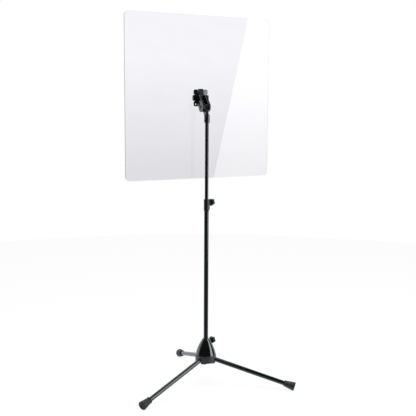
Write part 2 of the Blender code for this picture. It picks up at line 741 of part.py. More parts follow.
def make_lower_pole(stand):
    pipe("lower_tube", POLE_RADIUS, POLE_BORE, POLE_BOTTOM, POLE_TOP, parent=stand,
         finish="gloss black paint")
    spigot = POLE_BORE - FIT
    edge = LOCK_DISC_THICKNESS / 4
    turned("lock_plug", [
        (0.0, DISC_TOP + LOCK_SPIGOT_LENGTH),
        (spigot, DISC_TOP + LOCK_SPIGOT_LENGTH),
        (spigot, DISC_TOP),
        (LOCK_DISC_RADIUS - edge, DISC_TOP),
        (LOCK_DISC_RADIUS, DISC_TOP - edge),
        (LOCK_DISC_RADIUS, DISC_BOTTOM),
        (0.0, DISC_BOTTOM),
    ], parent=stand, finish="black plastic")


def make_clutch(stand):
    bottom = POLE_TOP - CLUTCH_GRIP
    edge = CLUTCH_WALL / 2
    sleeve = turned("clutch_sleeve", [
        (0.0, CLUTCH_TOP),
        (CLUTCH_RADIUS - edge, CLUTCH_TOP),
        (CLUTCH_RADIUS, CLUTCH_TOP - edge),
        (CLUTCH_RADIUS, bottom + CLUTCH_TAPER),
        (CLUTCH_BORE + FIT, bottom),
        (0.0, bottom),
    ], parent=stand, finish="black plastic")
    azimuth = math.radians(KNOB_AZIMUTH)
    x, y = polar(CLUTCH_RIB_REACH, KNOB_AZIMUTH)
    rib = turned("guide_clutch_rib", [
        (0.0, CLUTCH_TOP - edge),
        (CLUTCH_RIB_RADIUS, CLUTCH_TOP - 2 * edge),
        (CLUTCH_RIB_RADIUS, bottom + CLUTCH_TAPER),
        (0.0, bottom),
    ], MIDDLE_SIDES, parent=stand, at=(x, y, 0))
    radial = {"parent": stand, "at": (0, 0, CLUTCH_KNOB_HEIGHT), "turn": (0, QUARTER, azimuth)}
    join(sleeve, rib, rod("guide_clutch_boss", BOSS_RADIUS, 0, CLUTCH_BOSS_REACH, MIDDLE_SIDES,
                          **radial))
    seat_top = CLUTCH_TOP - CLUTCH_LIP
    bore = turned("cutter_clutch_bore", [
        (0.0, CLUTCH_TOP + FIT),
        (LINER_BORE, CLUTCH_TOP + FIT),
        (LINER_BORE, seat_top),
        (LINER_SEAT, seat_top),
        (LINER_SEAT, POLE_TOP),
        (CLUTCH_BORE, POLE_TOP),
        (CLUTCH_BORE, bottom - FIT),
        (0.0, bottom - FIT),
    ], parent=stand)
    hole_radius = CLUTCH_SCREW_RADIUS + FIT
    cut(sleeve, bore, rod("cutter_clutch_screw", hole_radius, 0, CLUTCH_BOSS_REACH + FIT, **radial))

    liner = pipe("clutch_liner", LINER_RADIUS, LINER_BORE, POLE_TOP + FIT, seat_top - FIT,
                 parent=stand, finish="grey nylon")
    cut(liner, rod("cutter_liner_window", hole_radius, 0, LINER_SEAT, **radial))


def make_upper_pole(stand):
    pipe("upper_tube", MAST_RADIUS, MAST_BORE, MAST_BOTTOM, MAST_TOP, parent=stand,
         finish="gloss black paint")
    spigot = MAST_BORE - FIT
    flange = POLE_BORE - FIT
    flange_top = MAST_BOTTOM - FIT
    turned("guide_plug", [
        (0.0, MAST_BOTTOM + GUIDE_SPIGOT),
        (spigot, MAST_BOTTOM + GUIDE_SPIGOT),
        (spigot, flange_top),
        (flange, flange_top),
        (flange, flange_top - GUIDE_FLANGE),
        (0.0, flange_top - GUIDE_FLANGE),
    ], MIDDLE_SIDES, parent=stand, finish="grey nylon")


def make_neck(stand):
    edge = SOCKET_WALL / 3
    neck = turned("head_neck", [
        (0.0, SOCKET_TOP),
        (SOCKET_RADIUS - 2 * edge, SOCKET_TOP),
        (SOCKET_RADIUS, SOCKET_TOP - edge),
        (SOCKET_RADIUS, SOCKET_BOTTOM + edge),
        (SOCKET_RADIUS - edge, SOCKET_BOTTOM),
        (0.0, SOCKET_BOTTOM),
    ], parent=stand, finish="satin casting")
    tongue_outline = strap((TILT_SETBACK, TILT_HEIGHT), TONGUE_RADIUS,
                           (0.0, SOCKET_TOP - TONGUE_ROOT_DROP), TONGUE_ROOT_RADIUS)
    join(neck, flat_solid("guide_tongue", tongue_outline, TONGUE_THICKNESS, parent=stand,
                          turn=SIDE_ON))
    bore = rod("cutter_socket_bore", SOCKET_BORE, SOCKET_BOTTOM - FIT, MAST_TOP + FIT,
               TUBE_SIDES, parent=stand)
    tilt_hole = rod("cutter_tongue_hole", TILT_HOLE, -TONGUE_THICKNESS, TONGUE_THICKNESS,
                    parent=stand, at=(0, TILT_SETBACK, TILT_HEIGHT), turn=ALONG_X)
    radial = {"parent": stand, "at": (0, 0, SOCKET_BOTTOM + SOCKET_SCREW_RISE), "turn": ALONG_Y}
    screw_hole = rod("cutter_socket_screw", SOCKET_SCREW_RADIUS + FIT, 0, 2 * SOCKET_RADIUS,
                     **radial)
    cut(neck, bore, tilt_hole, screw_hole)
    rod("socket_screw", SOCKET_SCREW_RADIUS, SOCKET_BORE, SOCKET_RADIUS, finish="black steel",
        **radial)


def make_fork(head):
    """Two cheeks on the tilt axis, joined by a web and a round flange behind the bracket."""
    hub = (FORK_REACH - FORK_ARM_RADIUS - FIT, FORK_RISE)
    outline = strap((0.0, 0.0), CHEEK_RADIUS, hub, FORK_ARM_RADIUS)
    cheek_middle = (CHEEK_INNER + CHEEK_OUTER) / 2
    fork = flat_solid("tilt_fork", outline, CHEEK_THICKNESS, parent=head,
                      at=(-cheek_middle, 0, 0), turn=SIDE_ON, finish="satin casting")
    round_edges(fork, CHEEK_EDGE)
    other = flat_solid("guide_far_cheek", outline, CHEEK_THICKNESS, parent=head,
                       at=(cheek_middle, 0, 0), turn=SIDE_ON)
    round_edges(other, CHEEK_EDGE)
    web = block("guide_fork_web",
                (-cheek_middle, FORK_REACH - FORK_WEB_DEPTH, FORK_RISE - FORK_ARM_RADIUS * 0.8),
                (cheek_middle, FORK_REACH - FIT, FORK_RISE + FORK_ARM_RADIUS * 0.8),
                parent=head)
    flange = rod("guide_fork_flange", FORK_FLANGE_RADIUS, FORK_REACH - FORK_FLANGE_THICKNESS,
                 FORK_REACH, TUBE_SIDES, parent=head, at=(0, 0, FORK_RISE), turn=ALONG_Y)
    join(fork, other, web, flange)
    across = {"parent": head, "turn": ALONG_X}
    reach = CHEEK_OUTER + FIT
    cut(fork,
        rod("cutter_tilt_hole", TILT_HOLE, -reach, reach, **across),
        rod("cutter_head_recess", TILT_RECESS_RADIUS, -reach, TILT_RECESS_DEPTH - CHEEK_OUTER,
            MIDDLE_SIDES, **across),
        rod("cutter_nut_recess", TILT_RECESS_RADIUS, CHEEK_OUTER - TILT_RECESS_DEPTH, reach,
            MIDDLE_SIDES, **across),
        rod("cutter_fork_screw", CENTRE_SCREW_RADIUS + FIT,
            FORK_REACH - CENTRE_SCREW_DEPTH, FORK_REACH + FIT, parent=head,
            at=(0, 0, FORK_RISE), turn=ALONG_Y))


def make_tilt_hardware(head):
    across = {"parent": head, "turn": ALONG_X}
    seat = CHEEK_OUTER - TILT_RECESS_DEPTH + FIT
    bolt = turned("tilt_bolt", [
        (0.0, CHEEK_OUTER - FIT),
        (TILT_BOLT_RADIUS, CHEEK_OUTER - FIT),
        (TILT_BOLT_RADIUS, -seat),
        (TILT_HEAD_RADIUS, -seat),
        (TILT_HEAD_RADIUS, -seat - TILT_HEAD_THICKNESS * 0.7),
        (TILT_HEAD_RADIUS * 0.85, -seat - TILT_HEAD_THICKNESS),
        (0.0, -seat - TILT_HEAD_THICKNESS),
    ], MIDDLE_SIDES, finish="black steel", **across)
    head_face = -seat - TILT_HEAD_THICKNESS
    cut(bolt, rod("cutter_hex_socket", TILT_SOCKET_RADIUS, head_face - FIT,
                  head_face + TILT_SOCKET_DEPTH, 6, **across))
    nut = rod("tilt_nut", TILT_HEAD_RADIUS, seat, seat + TILT_HEAD_THICKNESS - FIT, 6,
              finish="zinc steel", **across)
    cut(nut, rod("cutter_nut_hole", TILT_HOLE, seat - FIT, CHEEK_OUTER, **across))

    middle = TONGUE_HALF + FIT + WASHER_THICKNESS / 2
    for side, x in (("right", middle), ("left", -middle)):
        pipe("friction_washer_" + side, WASHER_RADIUS, TILT_HOLE, -WASHER_THICKNESS / 2,
             WASHER_THICKNESS / 2, MIDDLE_SIDES, parent=head, at=(x, 0, 0), turn=ALONG_X,
             finish="grey nylon")


def cross_outline():
    """A cross along X and Z, its arms a little narrower at their rounded ends."""
    points = []
    half = BRACKET_ARM_WIDTH / 2
    side = half - BRACKET_ARM_TAPER - BRACKET_ARM_ROUND
    for quarter, span in enumerate([BRACKET_ARM_SPAN_X, BRACKET_ARM_SPAN_Z] * 2):
        end = span / 2 - BRACKET_ARM_ROUND
        arm = [(half, -half)]
        arm += arc(end, -side, BRACKET_ARM_ROUND, -90, 0, 3)
        arm += arc(end, side, BRACKET_ARM_ROUND, 0, 90, 3)
        cosine = (1, 0, -1, 0)[quarter]
        sine = (0, 1, 0, -1)[quarter]
        points += [(x * cosine - y * sine, x * sine + y * cosine) for x, y in arm]
    return points


def screw_places():
    """The four panel screws, across from the bracket's middle in X and Z."""
    reach = BRACKET_SCREW_REACH
    return {"right": (reach, 0.0), "top": (0.0, reach), "left": (-reach, 0.0),
            "bottom": (0.0, -reach)}


def screw_holes(prefix, radius, near, far, head):
    holes = []
    for side, (x, z) in screw_places().items():
        holes.append(rod(prefix + side, radius, near, far, parent=head,
                         at=(x, 0, FORK_RISE + z), turn=ALONG_Y))
    return holes


def make_bracket(head):
    """A cross that carries the screws, over a thinner plate whose lower ears have holes."""
    plate_y = BRACKET_FACE - BRACKET_PLATE_STEP - BRACKET_PLATE_THICKNESS / 2
    arm_y = BRACKET_FACE - BRACKET_THICKNESS / 2
    outline = rounded_rectangle(BRACKET_PLATE_WIDTH, BRACKET_PLATE_HEIGHT, BRACKET_EAR_RADIUS)
    bracket = flat_solid("panel_bracket", outline, BRACKET_PLATE_THICKNESS, parent=head,
                         at=(0, plate_y, FORK_RISE), turn=FACING_Y, finish="satin casting")
    through = (BRACKET_REAR - FIT, BRACKET_FACE + FIT)
    notch_offset = BRACKET_ARM_WIDTH / 2
    half_width = BRACKET_PLATE_WIDTH / 2
    half_height = BRACKET_PLATE_HEIGHT / 2
    for i, (side_x, side_z) in enumerate([(1, 1), (-1, 1), (-1, -1), (1, -1)]):
        corner = str(i + 1)
        middle = {"parent": head, "at": (0, 0, FORK_RISE)}
        beside = notch_block("cutter_notch_side_" + corner, side_x * half_width,
                             side_z * notch_offset, True, through, middle)
        above = notch_block("cutter_notch_end_" + corner, side_x * notch_offset,
                            side_z * half_height, False, through, middle)
        cut(bracket, beside, above)
    ear_x = half_width - BRACKET_EAR_INSET
    ear_z = half_height - BRACKET_EAR_INSET
    for side, x in (("right", ear_x), ("left", -ear_x)):
        cut(bracket, rod("cutter_ear_hole_" + side, BRACKET_EAR_HOLE_RADIUS, *through,
                         MIDDLE_SIDES, parent=head, at=(x, 0, FORK_RISE - ear_z), turn=ALONG_Y))
    join(bracket, flat_solid("guide_bracket_cross", cross_outline(), BRACKET_THICKNESS,
                             parent=head, at=(0, arm_y, FORK_RISE), turn=FACING_Y))
    cut(bracket, *screw_holes("cutter_bracket_screw_", PANEL_HOLE, *through, head))
    middle = {"parent": head, "at": (0, 0, FORK_RISE), "turn": ALONG_Y}
    cut(bracket,
        rod("cutter_centre_hole", CENTRE_SCREW_RADIUS + FIT, *through, **middle),
        rod("cutter_centre_recess", CENTRE_SCREW_HEAD_RADIUS + FIT,
            BRACKET_FACE - CENTRE_SCREW_HEAD - FIT, BRACKET_FACE + FIT, MIDDLE_SIDES, **middle))

    head_bottom = BRACKET_FACE - CENTRE_SCREW_HEAD
    turned("bracket_screw", [
        (0.0, BRACKET_FACE),
        (CENTRE_SCREW_HEAD_RADIUS, BRACKET_FACE),
        (CENTRE_SCREW_HEAD_RADIUS, head_bottom),
        (CENTRE_SCREW_RADIUS, head_bottom),
        (CENTRE_SCREW_RADIUS, FORK_REACH - CENTRE_SCREW_DEPTH + FIT),
        (0.0, FORK_REACH - CENTRE_SCREW_DEPTH + FIT),
    ], MIDDLE_SIDES, finish="zinc steel", **middle)


def notch_block(name, x, z, lengthwise, through, where):
    """A narrow slot that parts an ear from an arm, half of it filled by the arm."""
    half_x = BRACKET_SIDE_NOTCH_DEPTH if lengthwise else BRACKET_NOTCH_WIDTH
    half_z = BRACKET_NOTCH_WIDTH if lengthwise else BRACKET_NOTCH_DEPTH
    low = (x - half_x, through[0], z - half_z)
    high = (x + half_x, through[1], z + half_z)
    return block(name, low, high, **where)


def make_pad(head):
    pad = flat_solid("bracket_pad", cross_outline(), PAD_THICKNESS, parent=head,
                     at=(0, PAD_MIDDLE, FORK_RISE), turn=FACING_Y, finish="rubber")
    near = PAD_MIDDLE - PAD_THICKNESS
    far = PAD_MIDDLE + PAD_THICKNESS
    cut(pad, *screw_holes("cutter_pad_screw_", PANEL_HOLE, near, far, head))


def make_panel(head):
    outline = rounded_rectangle(PANEL_WIDTH, PANEL_HEIGHT, PANEL_CORNER_RADIUS, 9)
    panel = flat_solid("acrylic_panel", outline, PANEL_THICKNESS, parent=head,
                       at=(0, PANEL_MIDDLE, FORK_RISE), turn=FACING_Y, finish="clear acrylic")
    cut(panel, *screw_holes("cutter_panel_screw_", PANEL_HOLE, PANEL_REAR - FIT,
                            PANEL_FACE + FIT, head))


def make_panel_fasteners(head):
    washer_face = PANEL_FACE + FIT + PANEL_WASHER_THICKNESS
    head_start = washer_face + FIT
    screw_profile = [
        (0.0, head_start + PANEL_SCREW_HEAD),
        (PANEL_SCREW_HEAD_RADIUS * 0.55, head_start + PANEL_SCREW_HEAD),
        (PANEL_SCREW_HEAD_RADIUS * 0.9, head_start + PANEL_SCREW_HEAD * 0.6),
        (PANEL_SCREW_HEAD_RADIUS, head_start),
        (PANEL_SCREW_RADIUS, head_start),
        (PANEL_SCREW_RADIUS, BRACKET_REAR),
        (0.0, BRACKET_REAR),
    ]
    for side, (x, z) in screw_places().items():
        where = {"parent": head, "at": (x, 0, FORK_RISE + z), "turn": ALONG_Y}
        pipe("panel_washer_" + side, PANEL_WASHER_RADIUS, PANEL_HOLE, PANEL_FACE + FIT,
             washer_face, MIDDLE_SIDES, finish="black plastic", **where)
        turned("panel_screw_" + side, screw_profile, SMALL_SIDES, finish="black steel", **where)


def main():
    clear_scene()
    add_collection(PARTS)
    add_collection(CUTTERS)
    make_materials()
    middle_x, middle_y = footprint_middle()
    stand = add_empty("pole_axis", None, (-middle_x, -middle_y, 0.0))
    make_bell(stand)
    make_hub(stand)
    make_hub_screws(stand)
    make_pole_bush(stand)
    make_legs(stand)
    make_knob("base_knob", BASE_SCREW_RADIUS, POLE_RADIUS + FIT, BOSS_REACH, stand,
              BASE_KNOB_HEIGHT)
    make_lower_pole(stand)
    make_clutch(stand)
    make_knob("clutch_knob", CLUTCH_SCREW_RADIUS, MAST_RADIUS + FIT, CLUTCH_BOSS_REACH, stand,
              CLUTCH_KNOB_HEIGHT)
    make_upper_pole(stand)
    make_neck(stand)
    head = add_empty("tilt_axis", stand, (0.0, TILT_SETBACK, TILT_HEIGHT))
    make_fork(head)
    make_tilt_hardware(head)
    make_bracket(head)
    make_pad(head)
    make_panel(head)
    make_panel_fasteners(head)


main()
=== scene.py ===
import json
import math

import bmesh
import bpy
from mathutils import Matrix, Vector


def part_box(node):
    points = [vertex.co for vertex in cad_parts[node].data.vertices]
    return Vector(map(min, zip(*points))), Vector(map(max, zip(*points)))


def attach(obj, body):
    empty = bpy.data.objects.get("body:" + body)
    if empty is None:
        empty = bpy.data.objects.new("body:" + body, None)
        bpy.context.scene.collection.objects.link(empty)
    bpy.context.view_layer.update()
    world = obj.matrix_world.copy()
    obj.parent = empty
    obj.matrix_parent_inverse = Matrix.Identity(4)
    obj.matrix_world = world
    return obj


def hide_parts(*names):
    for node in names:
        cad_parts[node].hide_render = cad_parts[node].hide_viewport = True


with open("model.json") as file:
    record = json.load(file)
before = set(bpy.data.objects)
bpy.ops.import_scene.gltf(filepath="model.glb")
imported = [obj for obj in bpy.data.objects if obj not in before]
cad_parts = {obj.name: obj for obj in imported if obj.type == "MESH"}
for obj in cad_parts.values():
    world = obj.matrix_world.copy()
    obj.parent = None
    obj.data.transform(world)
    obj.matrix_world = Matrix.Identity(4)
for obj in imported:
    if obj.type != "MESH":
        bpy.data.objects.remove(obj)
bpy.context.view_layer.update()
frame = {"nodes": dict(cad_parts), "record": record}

# Sizes are in metres, angles in degrees, lamps in watts and the lens in millimetres

# Smoothness of the shown pieces
ROUND_SIDES = 96
SMALL_SIDES = 40
KNOB_SIDES = 160
ARCH_SIDES = 200
FLOOR_SIDES = 64
HEX_SIDES = 6
SHARP_ANGLE = 32
SLIGHT_EDGE = 0.0002

# The most of a side that a rounded corner may take
CORNER_SHARE = 0.45

# The room between two pieces, and how far a cutting shape reaches past what it cuts
GAP = 0.0003
CUT_PAST = 0.02

# Legs
LEG_AZIMUTHS = {"right": -39.2, "back": 80.8, "left": 200.8}
BETWEEN_LEGS = 60
LEG_SLOPE = 15.85
LEG_TUBE_RADIUS = 0.0100
LEG_TUBE_WALL = 0.0012
LEG_TUBE_START = 0.0093
LEG_END = 0.382544
PIVOT_REACH = 0.0300
PIN_RADIUS = 0.0025

# Rubber feet
FOOT_LENGTH = 0.048
FOOT_SOLE = 0.010
FOOT_END_RADIUS = 0.0190
FOOT_RIM_ROUND = 0.003
FOOT_BAND = 0.009
FOOT_STEP = 0.0006
FOOT_STEP_ROUND = 0.0004
FOOT_NECK_RADIUS = 0.0133
FOOT_LIP_HEIGHT = 0.0010
FOOT_LIP_LENGTH = 0.0040
FOOT_LIP_STEP = 0.0004
FOOT_LIP_ROUND = 0.0008
FOOT_GROOVES = 4
FOOT_GROOVE_DEPTH = 0.0007
TREAD_RINGS = 3
TREAD_DEPTH = 0.0007
TREAD_HALF_WIDTH = 0.0009
TREAD_HALF_FLOOR = 0.0005

# A groove's four corners on the foot, each with its share of the pitch and of the depth
FOOT_GROOVE_STEPS = ((0.10, 0), (0.14, 1), (0.24, 1), (0.28, 0))

# Leg hub and bell
HUB_RADIUS = 0.0465
HUB_BORE = 0.0210
HUB_SKIRT = 0.0030
HUB_EAR = 0.0040
HUB_DECK = 0.0080
HUB_EDGE = 0.0012
HUB_SOFT_EDGE = 0.0005
HUB_ARCH_RISE = 0.0035
HUB_ARCH_HALF_SPAN = 0.0200
HUB_AXIS_DROP = 0.0100
CHANNEL_HALF = 0.0104
SLOT_HALF = 0.0107
SLOT_DROP = 0.0500
BELL_RIM_RADIUS = 0.0455
BELL_COLLAR_RADIUS = 0.0135
BELL_BULGE = 0.0040
BELL_WALL = 0.0035
BELL_BORE = 0.0119
BELL_TUBE_RADIUS = 0.0159
BELL_TUBE_RISE = 0.0210
BELL_STEPS = 40
CAVITY_START = 0.22
PILLAR_REACH = 0.0360
PILLAR_RADIUS = 0.0040
PILLAR_HEIGHT = 0.0160
HUB_SCREW_RADIUS = 0.0023
HUB_SCREW_GRIP = 0.0093

# Knobs
KNOB_AZIMUTH = 20.8
KNOB_RADIUS = 0.0148
KNOB_LOBE = 0.0016
KNOB_LOBES = 5
KNOB_THICKNESS = 0.0140
KNOB_ROUND = 0.0025
KNOB_DISH_RADIUS = 0.0085
KNOB_DISH_DEPTH = 0.0012
KNOB_DISH_INSET = 0.0006
KNOB_DISH_WALL = 0.0004
KNOB_DISH_LIP = 0.0003
KNOB_DISH_RIM = 0.0009
KNOB_CAP_RADIUS = 0.0062
KNOB_CAP_RISE = 0.0006
KNOB_CAP_FOOT = 0.0002
KNOB_COLLAR_LENGTH = 0.0060
KNOB_COLLAR_RADIUS = 0.0062
KNOB_COLLAR_FLARE = 0.0010
KNOB_COLLAR_NECK = 0.0006
KNOB_COLLAR_EDGE = 0.0005
KNOB_SCREW_DEPTH = 0.0100
BOSS_RADIUS = 0.0065
BASE_BOSS_ROOT = 0.0020
BASE_BOSS_REACH = 0.0300
BASE_BOSS_EDGE = 0.0006
CLUTCH_BOSS_REACH = 0.0195
CLUTCH_BOSS_EDGE = 0.0005
BASE_SCREW_HOLE = 0.0042
CLUTCH_SCREW_HOLE = 0.0032

# Poles and clutch
POLE_RADIUS = 0.0100
POLE_WALL = 0.0012
MAST_RADIUS = 0.0080
MAST_WALL = 0.0010
CLUTCH_RADIUS = 0.0120
CLUTCH_TAPER = 0.0080
CLUTCH_EDGE = 0.0010
CLUTCH_LIP = 0.0020
CLUTCH_RIB_RADIUS = 0.0060
CLUTCH_RIB_REACH = 0.0130
LINER_SEAT = 0.0109

# Head
SOCKET_RADIUS = 0.0120
SOCKET_LENGTH = 0.0340
SOCKET_EDGE = 0.0012
SOCKET_BORE_DEPTH = 0.0265
SOCKET_SCREW_RISE = 0.0110
SOCKET_SCREW_HOLE = 0.0028
TILT_SETBACK = 0.0210
TONGUE_THICKNESS = 0.0150
TONGUE_RADIUS = 0.0125
TONGUE_ROOT_RADIUS = 0.0080
TONGUE_ROOT_DROP = 0.0080
CHEEK_RADIUS = 0.0215
CHEEK_INNER = 0.0090
CHEEK_THICKNESS = 0.0100
CHEEK_EDGE = 0.0015
WASHER_RADIUS = 0.0115
WASHER_THICKNESS = 0.0009
TILT_BOLT_RADIUS = 0.0039
TILT_HOLE = 0.0042
TILT_HEAD_RADIUS = 0.0070
TILT_HEAD_THICKNESS = 0.0045
TILT_HEAD_SUNK = 0.0004
TILT_HEAD_ROUND = 0.0006
TILT_HEX_RADIUS = 0.0030
TILT_HEX_DEPTH = 0.0025
TILT_NUT_EDGE = 0.0004
FORK_REACH = 0.0336
FORK_RISE = 0.0390
FORK_ARM_RADIUS = 0.0125
FORK_FLANGE_RADIUS = 0.0180
FORK_FLANGE_THICKNESS = 0.0060
FORK_FLANGE_EDGE = 0.0008
FORK_WEB_DEPTH = 0.0110
FORK_WEB_SHARE = 0.8
FORK_SCREW_DEPTH = 0.0070

# Panel bracket, with distances in Y from the tilt axis
BRACKET_REAR = 0.0339
BRACKET_FACE = 0.0399
BRACKET_PLATE_THICKNESS = 0.0045
BRACKET_PLATE_STEP = 0.0005
BRACKET_PLATE_WIDTH = 0.0680
BRACKET_PLATE_HEIGHT = 0.0720
BRACKET_PLATE_EDGE = 0.0006
CROWN_FLAT = 0.0230
CROWN_REACH = 0.0520
CROWN_SLOPE = 7
BRACKET_EAR_RADIUS = 0.0070
BRACKET_EAR_INSET = 0.0090
BRACKET_EAR_HOLE_RADIUS = 0.0030
BRACKET_ARM_WIDTH = 0.0260
BRACKET_ARM_SPAN_X = 0.0760
BRACKET_ARM_SPAN_Z = 0.0780
BRACKET_ARM_ROUND = 0.0040
BRACKET_ARM_DRAFT = 0.0006
BRACKET_ARM_EDGE = 0.0008
BRACKET_NOTCH_WIDTH = 0.0026
BRACKET_NOTCH_DEPTH = 0.0090
BRACKET_SIDE_NOTCH_DEPTH = 0.0040
BRACKET_SCREW_REACH = 0.0280
CENTRE_SCREW_RADIUS = 0.0039
CENTRE_SCREW_HEAD_RADIUS = 0.0077
CENTRE_SCREW_HEAD = 0.0030

# Panel and fasteners
PAD_MIDDLE = 0.04095
PAD_THICKNESS = 0.0015
PANEL_REAR = 0.0420
PANEL_FACE = 0.0470
PANEL_WIDTH = 0.7000
PANEL_HEIGHT = 0.7000
PANEL_CORNER_RADIUS = 0.0220
PANEL_EDGE = 0.0006
PANEL_HOLE = 0.0027
PANEL_WASHER_RADIUS = 0.0075
PANEL_WASHER_THICKNESS = 0.0012
PANEL_SCREW_RADIUS = 0.0024
PANEL_SCREW_HEAD_RADIUS = 0.0047
PANEL_SCREW_HEAD = 0.0026
PANEL_SCREW_RIM = 0.0008
PANEL_SCREW_ROUND = 0.0006
PANEL_SCREW_TOP_SHARE = 0.7
PANEL_HEX_SHARE = 0.42
PANEL_HEX_DEPTH = 0.0014

# Camera, set from the panel's corners, the pole and the feet in the photograph
CAMERA_FROM_POLE = (-1.5344, -2.8543, 1.2326)
CAMERA_HEADING = 28.378
CAMERA_PITCH = 7.669
CAMERA_ROLL = 0.3129
CAMERA_LENS = 65.09
CAMERA_RANGE = 60

# Lamps
SOFTBOX_ANGLE = 76
SOFTBOX_DISTANCE = 2.6
SOFTBOX_WIDTH = 1.3
SOFTBOX_HEIGHT = 2.8
SOFTBOX_MIDDLE = 1.5
SOFTBOX_EDGE = -0.59
SOFTBOX_LEAN = -12.4
SOFTBOX_POWER = 36
TOP_SIZE = 2.0
TOP_HEIGHT = 3.4
TOP_NEARER = 0.8
TOP_ANGLE = -25
TOP_AIM = 1.0
TOP_POWER = 32

# Tints of the room, in the paint's reflections and through the panel
COOL = (0.93, 0.975, 1.0)
VIOLET = (0.985, 0.975, 1.0)

# The room, with levels in which 1 is white
FLOOR_RADIUS = 4.0
FLOOR_DROP = 0.0005
FILL_STRENGTH = 0.50
ROOM_IN_FRONT = 0.03
BACKDROP_ANGLE = -165
BACKDROP_START = 0.10
BACKDROP_END = 0.40
SHEET_START = 0.12
SHEET_END = 0.50
SHEET_IN_GLOSS = 0.9
FLOOR_IN_FRONT = 0.12
SEEN_HIGH = 1.0
SEEN_LOW = 0.80
SEEN_HIGH_SLOPE = 0.060
SEEN_LOW_SLOPE = -0.085
FLOOR_GLOW = 1.10
FLOOR_GLOW_SHARE = 0.8

# Wear, on every finish but the zinc and the clear sheet
RUBBED_BEND = (0.80, 0.97)
RUBBED_ROUGHER = 0.12
FLECKS = (0.42, 0.62)
SKIN_STRENGTH = 0.35


# Ways to place a piece

def at(x, y, z):
    return Matrix.Translation((x, y, z))


def turn_z(degrees):
    return Matrix.Rotation(math.radians(degrees), 4, "Z")


def polar(reach, azimuth):
    angle = math.radians(azimuth)
    return reach * math.cos(angle), reach * math.sin(angle)


def middle_of(node):
    low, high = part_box(node)
    return (low + high) / 2


def heights_of(node):
    low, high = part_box(node)
    return low.z, high.z


def knob_line(screw):
    """The line out of the pole that a hand knob and its screw lie on."""
    return POLE @ at(0, 0, middle_of(screw).z) @ turn_z(KNOB_AZIMUTH) @ ALONG_X


# Turns that lay a shape built along Z on another axis
QUARTER = math.pi / 2
ALONG_X = Matrix.Rotation(QUARTER, 4, "Y")
ALONG_Y = Matrix.Rotation(-QUARTER, 4, "X")
FACING_Y = Matrix.Rotation(QUARTER, 4, "X")
SIDE_ON = Matrix.Rotation(QUARTER, 4, "Z") @ Matrix.Rotation(QUARTER, 4, "X")
LEG_TILT = Matrix.Rotation(math.radians(LEG_SLOPE), 4, "Y")

# The pole's foot and the tilt axis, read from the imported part, and the shield's middle
POLE_MIDDLE = middle_of("lower_tube")
TILT_MIDDLE = middle_of("friction_washer_right")
POLE = at(POLE_MIDDLE.x, POLE_MIDDLE.y, 0.0)
HEAD = at(POLE_MIDDLE.x, TILT_MIDDLE.y, TILT_MIDDLE.z)
SHIELD = HEAD @ at(0, 0, FORK_RISE)


# Ways to build a piece

def arc(centre_x, centre_y, radius, start, end, steps=12):
    """Points on an arc from one angle to another, in degrees."""
    points = []
    for i in range(steps + 1):
        angle = math.radians(start + (end - start) * i / steps)
        points.append((centre_x + radius * math.cos(angle), centre_y + radius * math.sin(angle)))
    return points


def fillet(points, radius, steps=3, closed=True):
    """Round every corner of a line of flat points."""
    line = [Vector(point) for point in points]
    rounded = []
    for i, corner in enumerate(line):
        if not closed and i in (0, len(line) - 1):
            rounded.append(tuple(corner))
            continue
        before = line[i - 1] - corner
        after = line[(i + 1) % len(line)] - corner
        reach = min(radius, before.length * CORNER_SHARE, after.length * CORNER_SHARE)
        start = corner + before.normalized() * reach
        end = corner + after.normalized() * reach
        for step in range(steps + 1):
            share = step / steps
            bend = start * (1 - share) ** 2 + corner * (2 * share * (1 - share)) + end * share**2
            rounded.append(tuple(bend))
    return rounded


def strap(big, big_radius, small, small_radius, steps=20):
    """The outline of a band pulled tight round two circles."""
    across = small[0] - big[0]
    up = small[1] - big[1]
    way = math.degrees(math.atan2(up, across))
    lean = math.degrees(math.acos((big_radius - small_radius) / math.hypot(across, up)))
    far_side = arc(*big, big_radius, way + lean, way + 360 - lean, 2 * steps)
    near_side = arc(*small, small_radius, way - lean, way + lean, steps)
    return far_side + near_side


def rounded_rectangle(width, height, radius, steps=12):
    """The outline of a plate with round corners."""
    points = []
    for corner, (side_x, side_y) in enumerate([(1, 1), (-1, 1), (-1, -1), (1, -1)]):
        x = side_x * (width / 2 - radius)
        y = side_y * (height / 2 - radius)
        points += arc(x, y, radius, 90 * corner, 90 * corner + 90, steps)
    return points


def shape(name, work, place):
    """Put a finished shape into the scene at its place."""
    mesh = bpy.data.meshes.new(name)
    bmesh.ops.recalc_face_normals(work, faces=work.faces)
    work.to_mesh(mesh)
    work.free()
    mesh.transform(place)
    solid = bpy.data.objects.new(name, mesh)
    bpy.context.scene.collection.objects.link(solid)
    return solid


def rings(name, lines, place, closed=False):
    """Skin a row of rings of points. A ring of one point is a pole."""
    work = bmesh.new()
    rows = [[work.verts.new(point) for point in line] for line in lines]
    pairs = list(zip(rows, rows[1:]))
    if closed:
        pairs.append((rows[-1], rows[0]))
    sides = max(len(row) for row in rows)
    for near, far in pairs:
        for i in range(sides):
            j = (i + 1) % sides
            corners = [near[i % len(near)], near[j % len(near)],
                       far[j % len(far)], far[i % len(far)]]
            corners = list(dict.fromkeys(corners))
            if len(corners) > 2:
                work.faces.new(corners)
    return shape(name, work, place)


def lathe(name, profile, place, sides=ROUND_SIDES, closed=False):
    """Turn a profile of (radius, height) points round Z."""
    lines = []
    for radius, height in profile:
        count = sides if radius else 1
        lines.append([(*polar(radius, 360 * i / sides), height) for i in range(count)])
    return rings(name, lines, place, closed)


def pipe(name, outer, inner, bottom, top, place, edge=0.0003, sides=ROUND_SIDES):
    profile = [(outer, top), (outer, bottom), (inner, bottom), (inner, top)]
    return lathe(name, fillet(profile, edge), place, sides, closed=True)


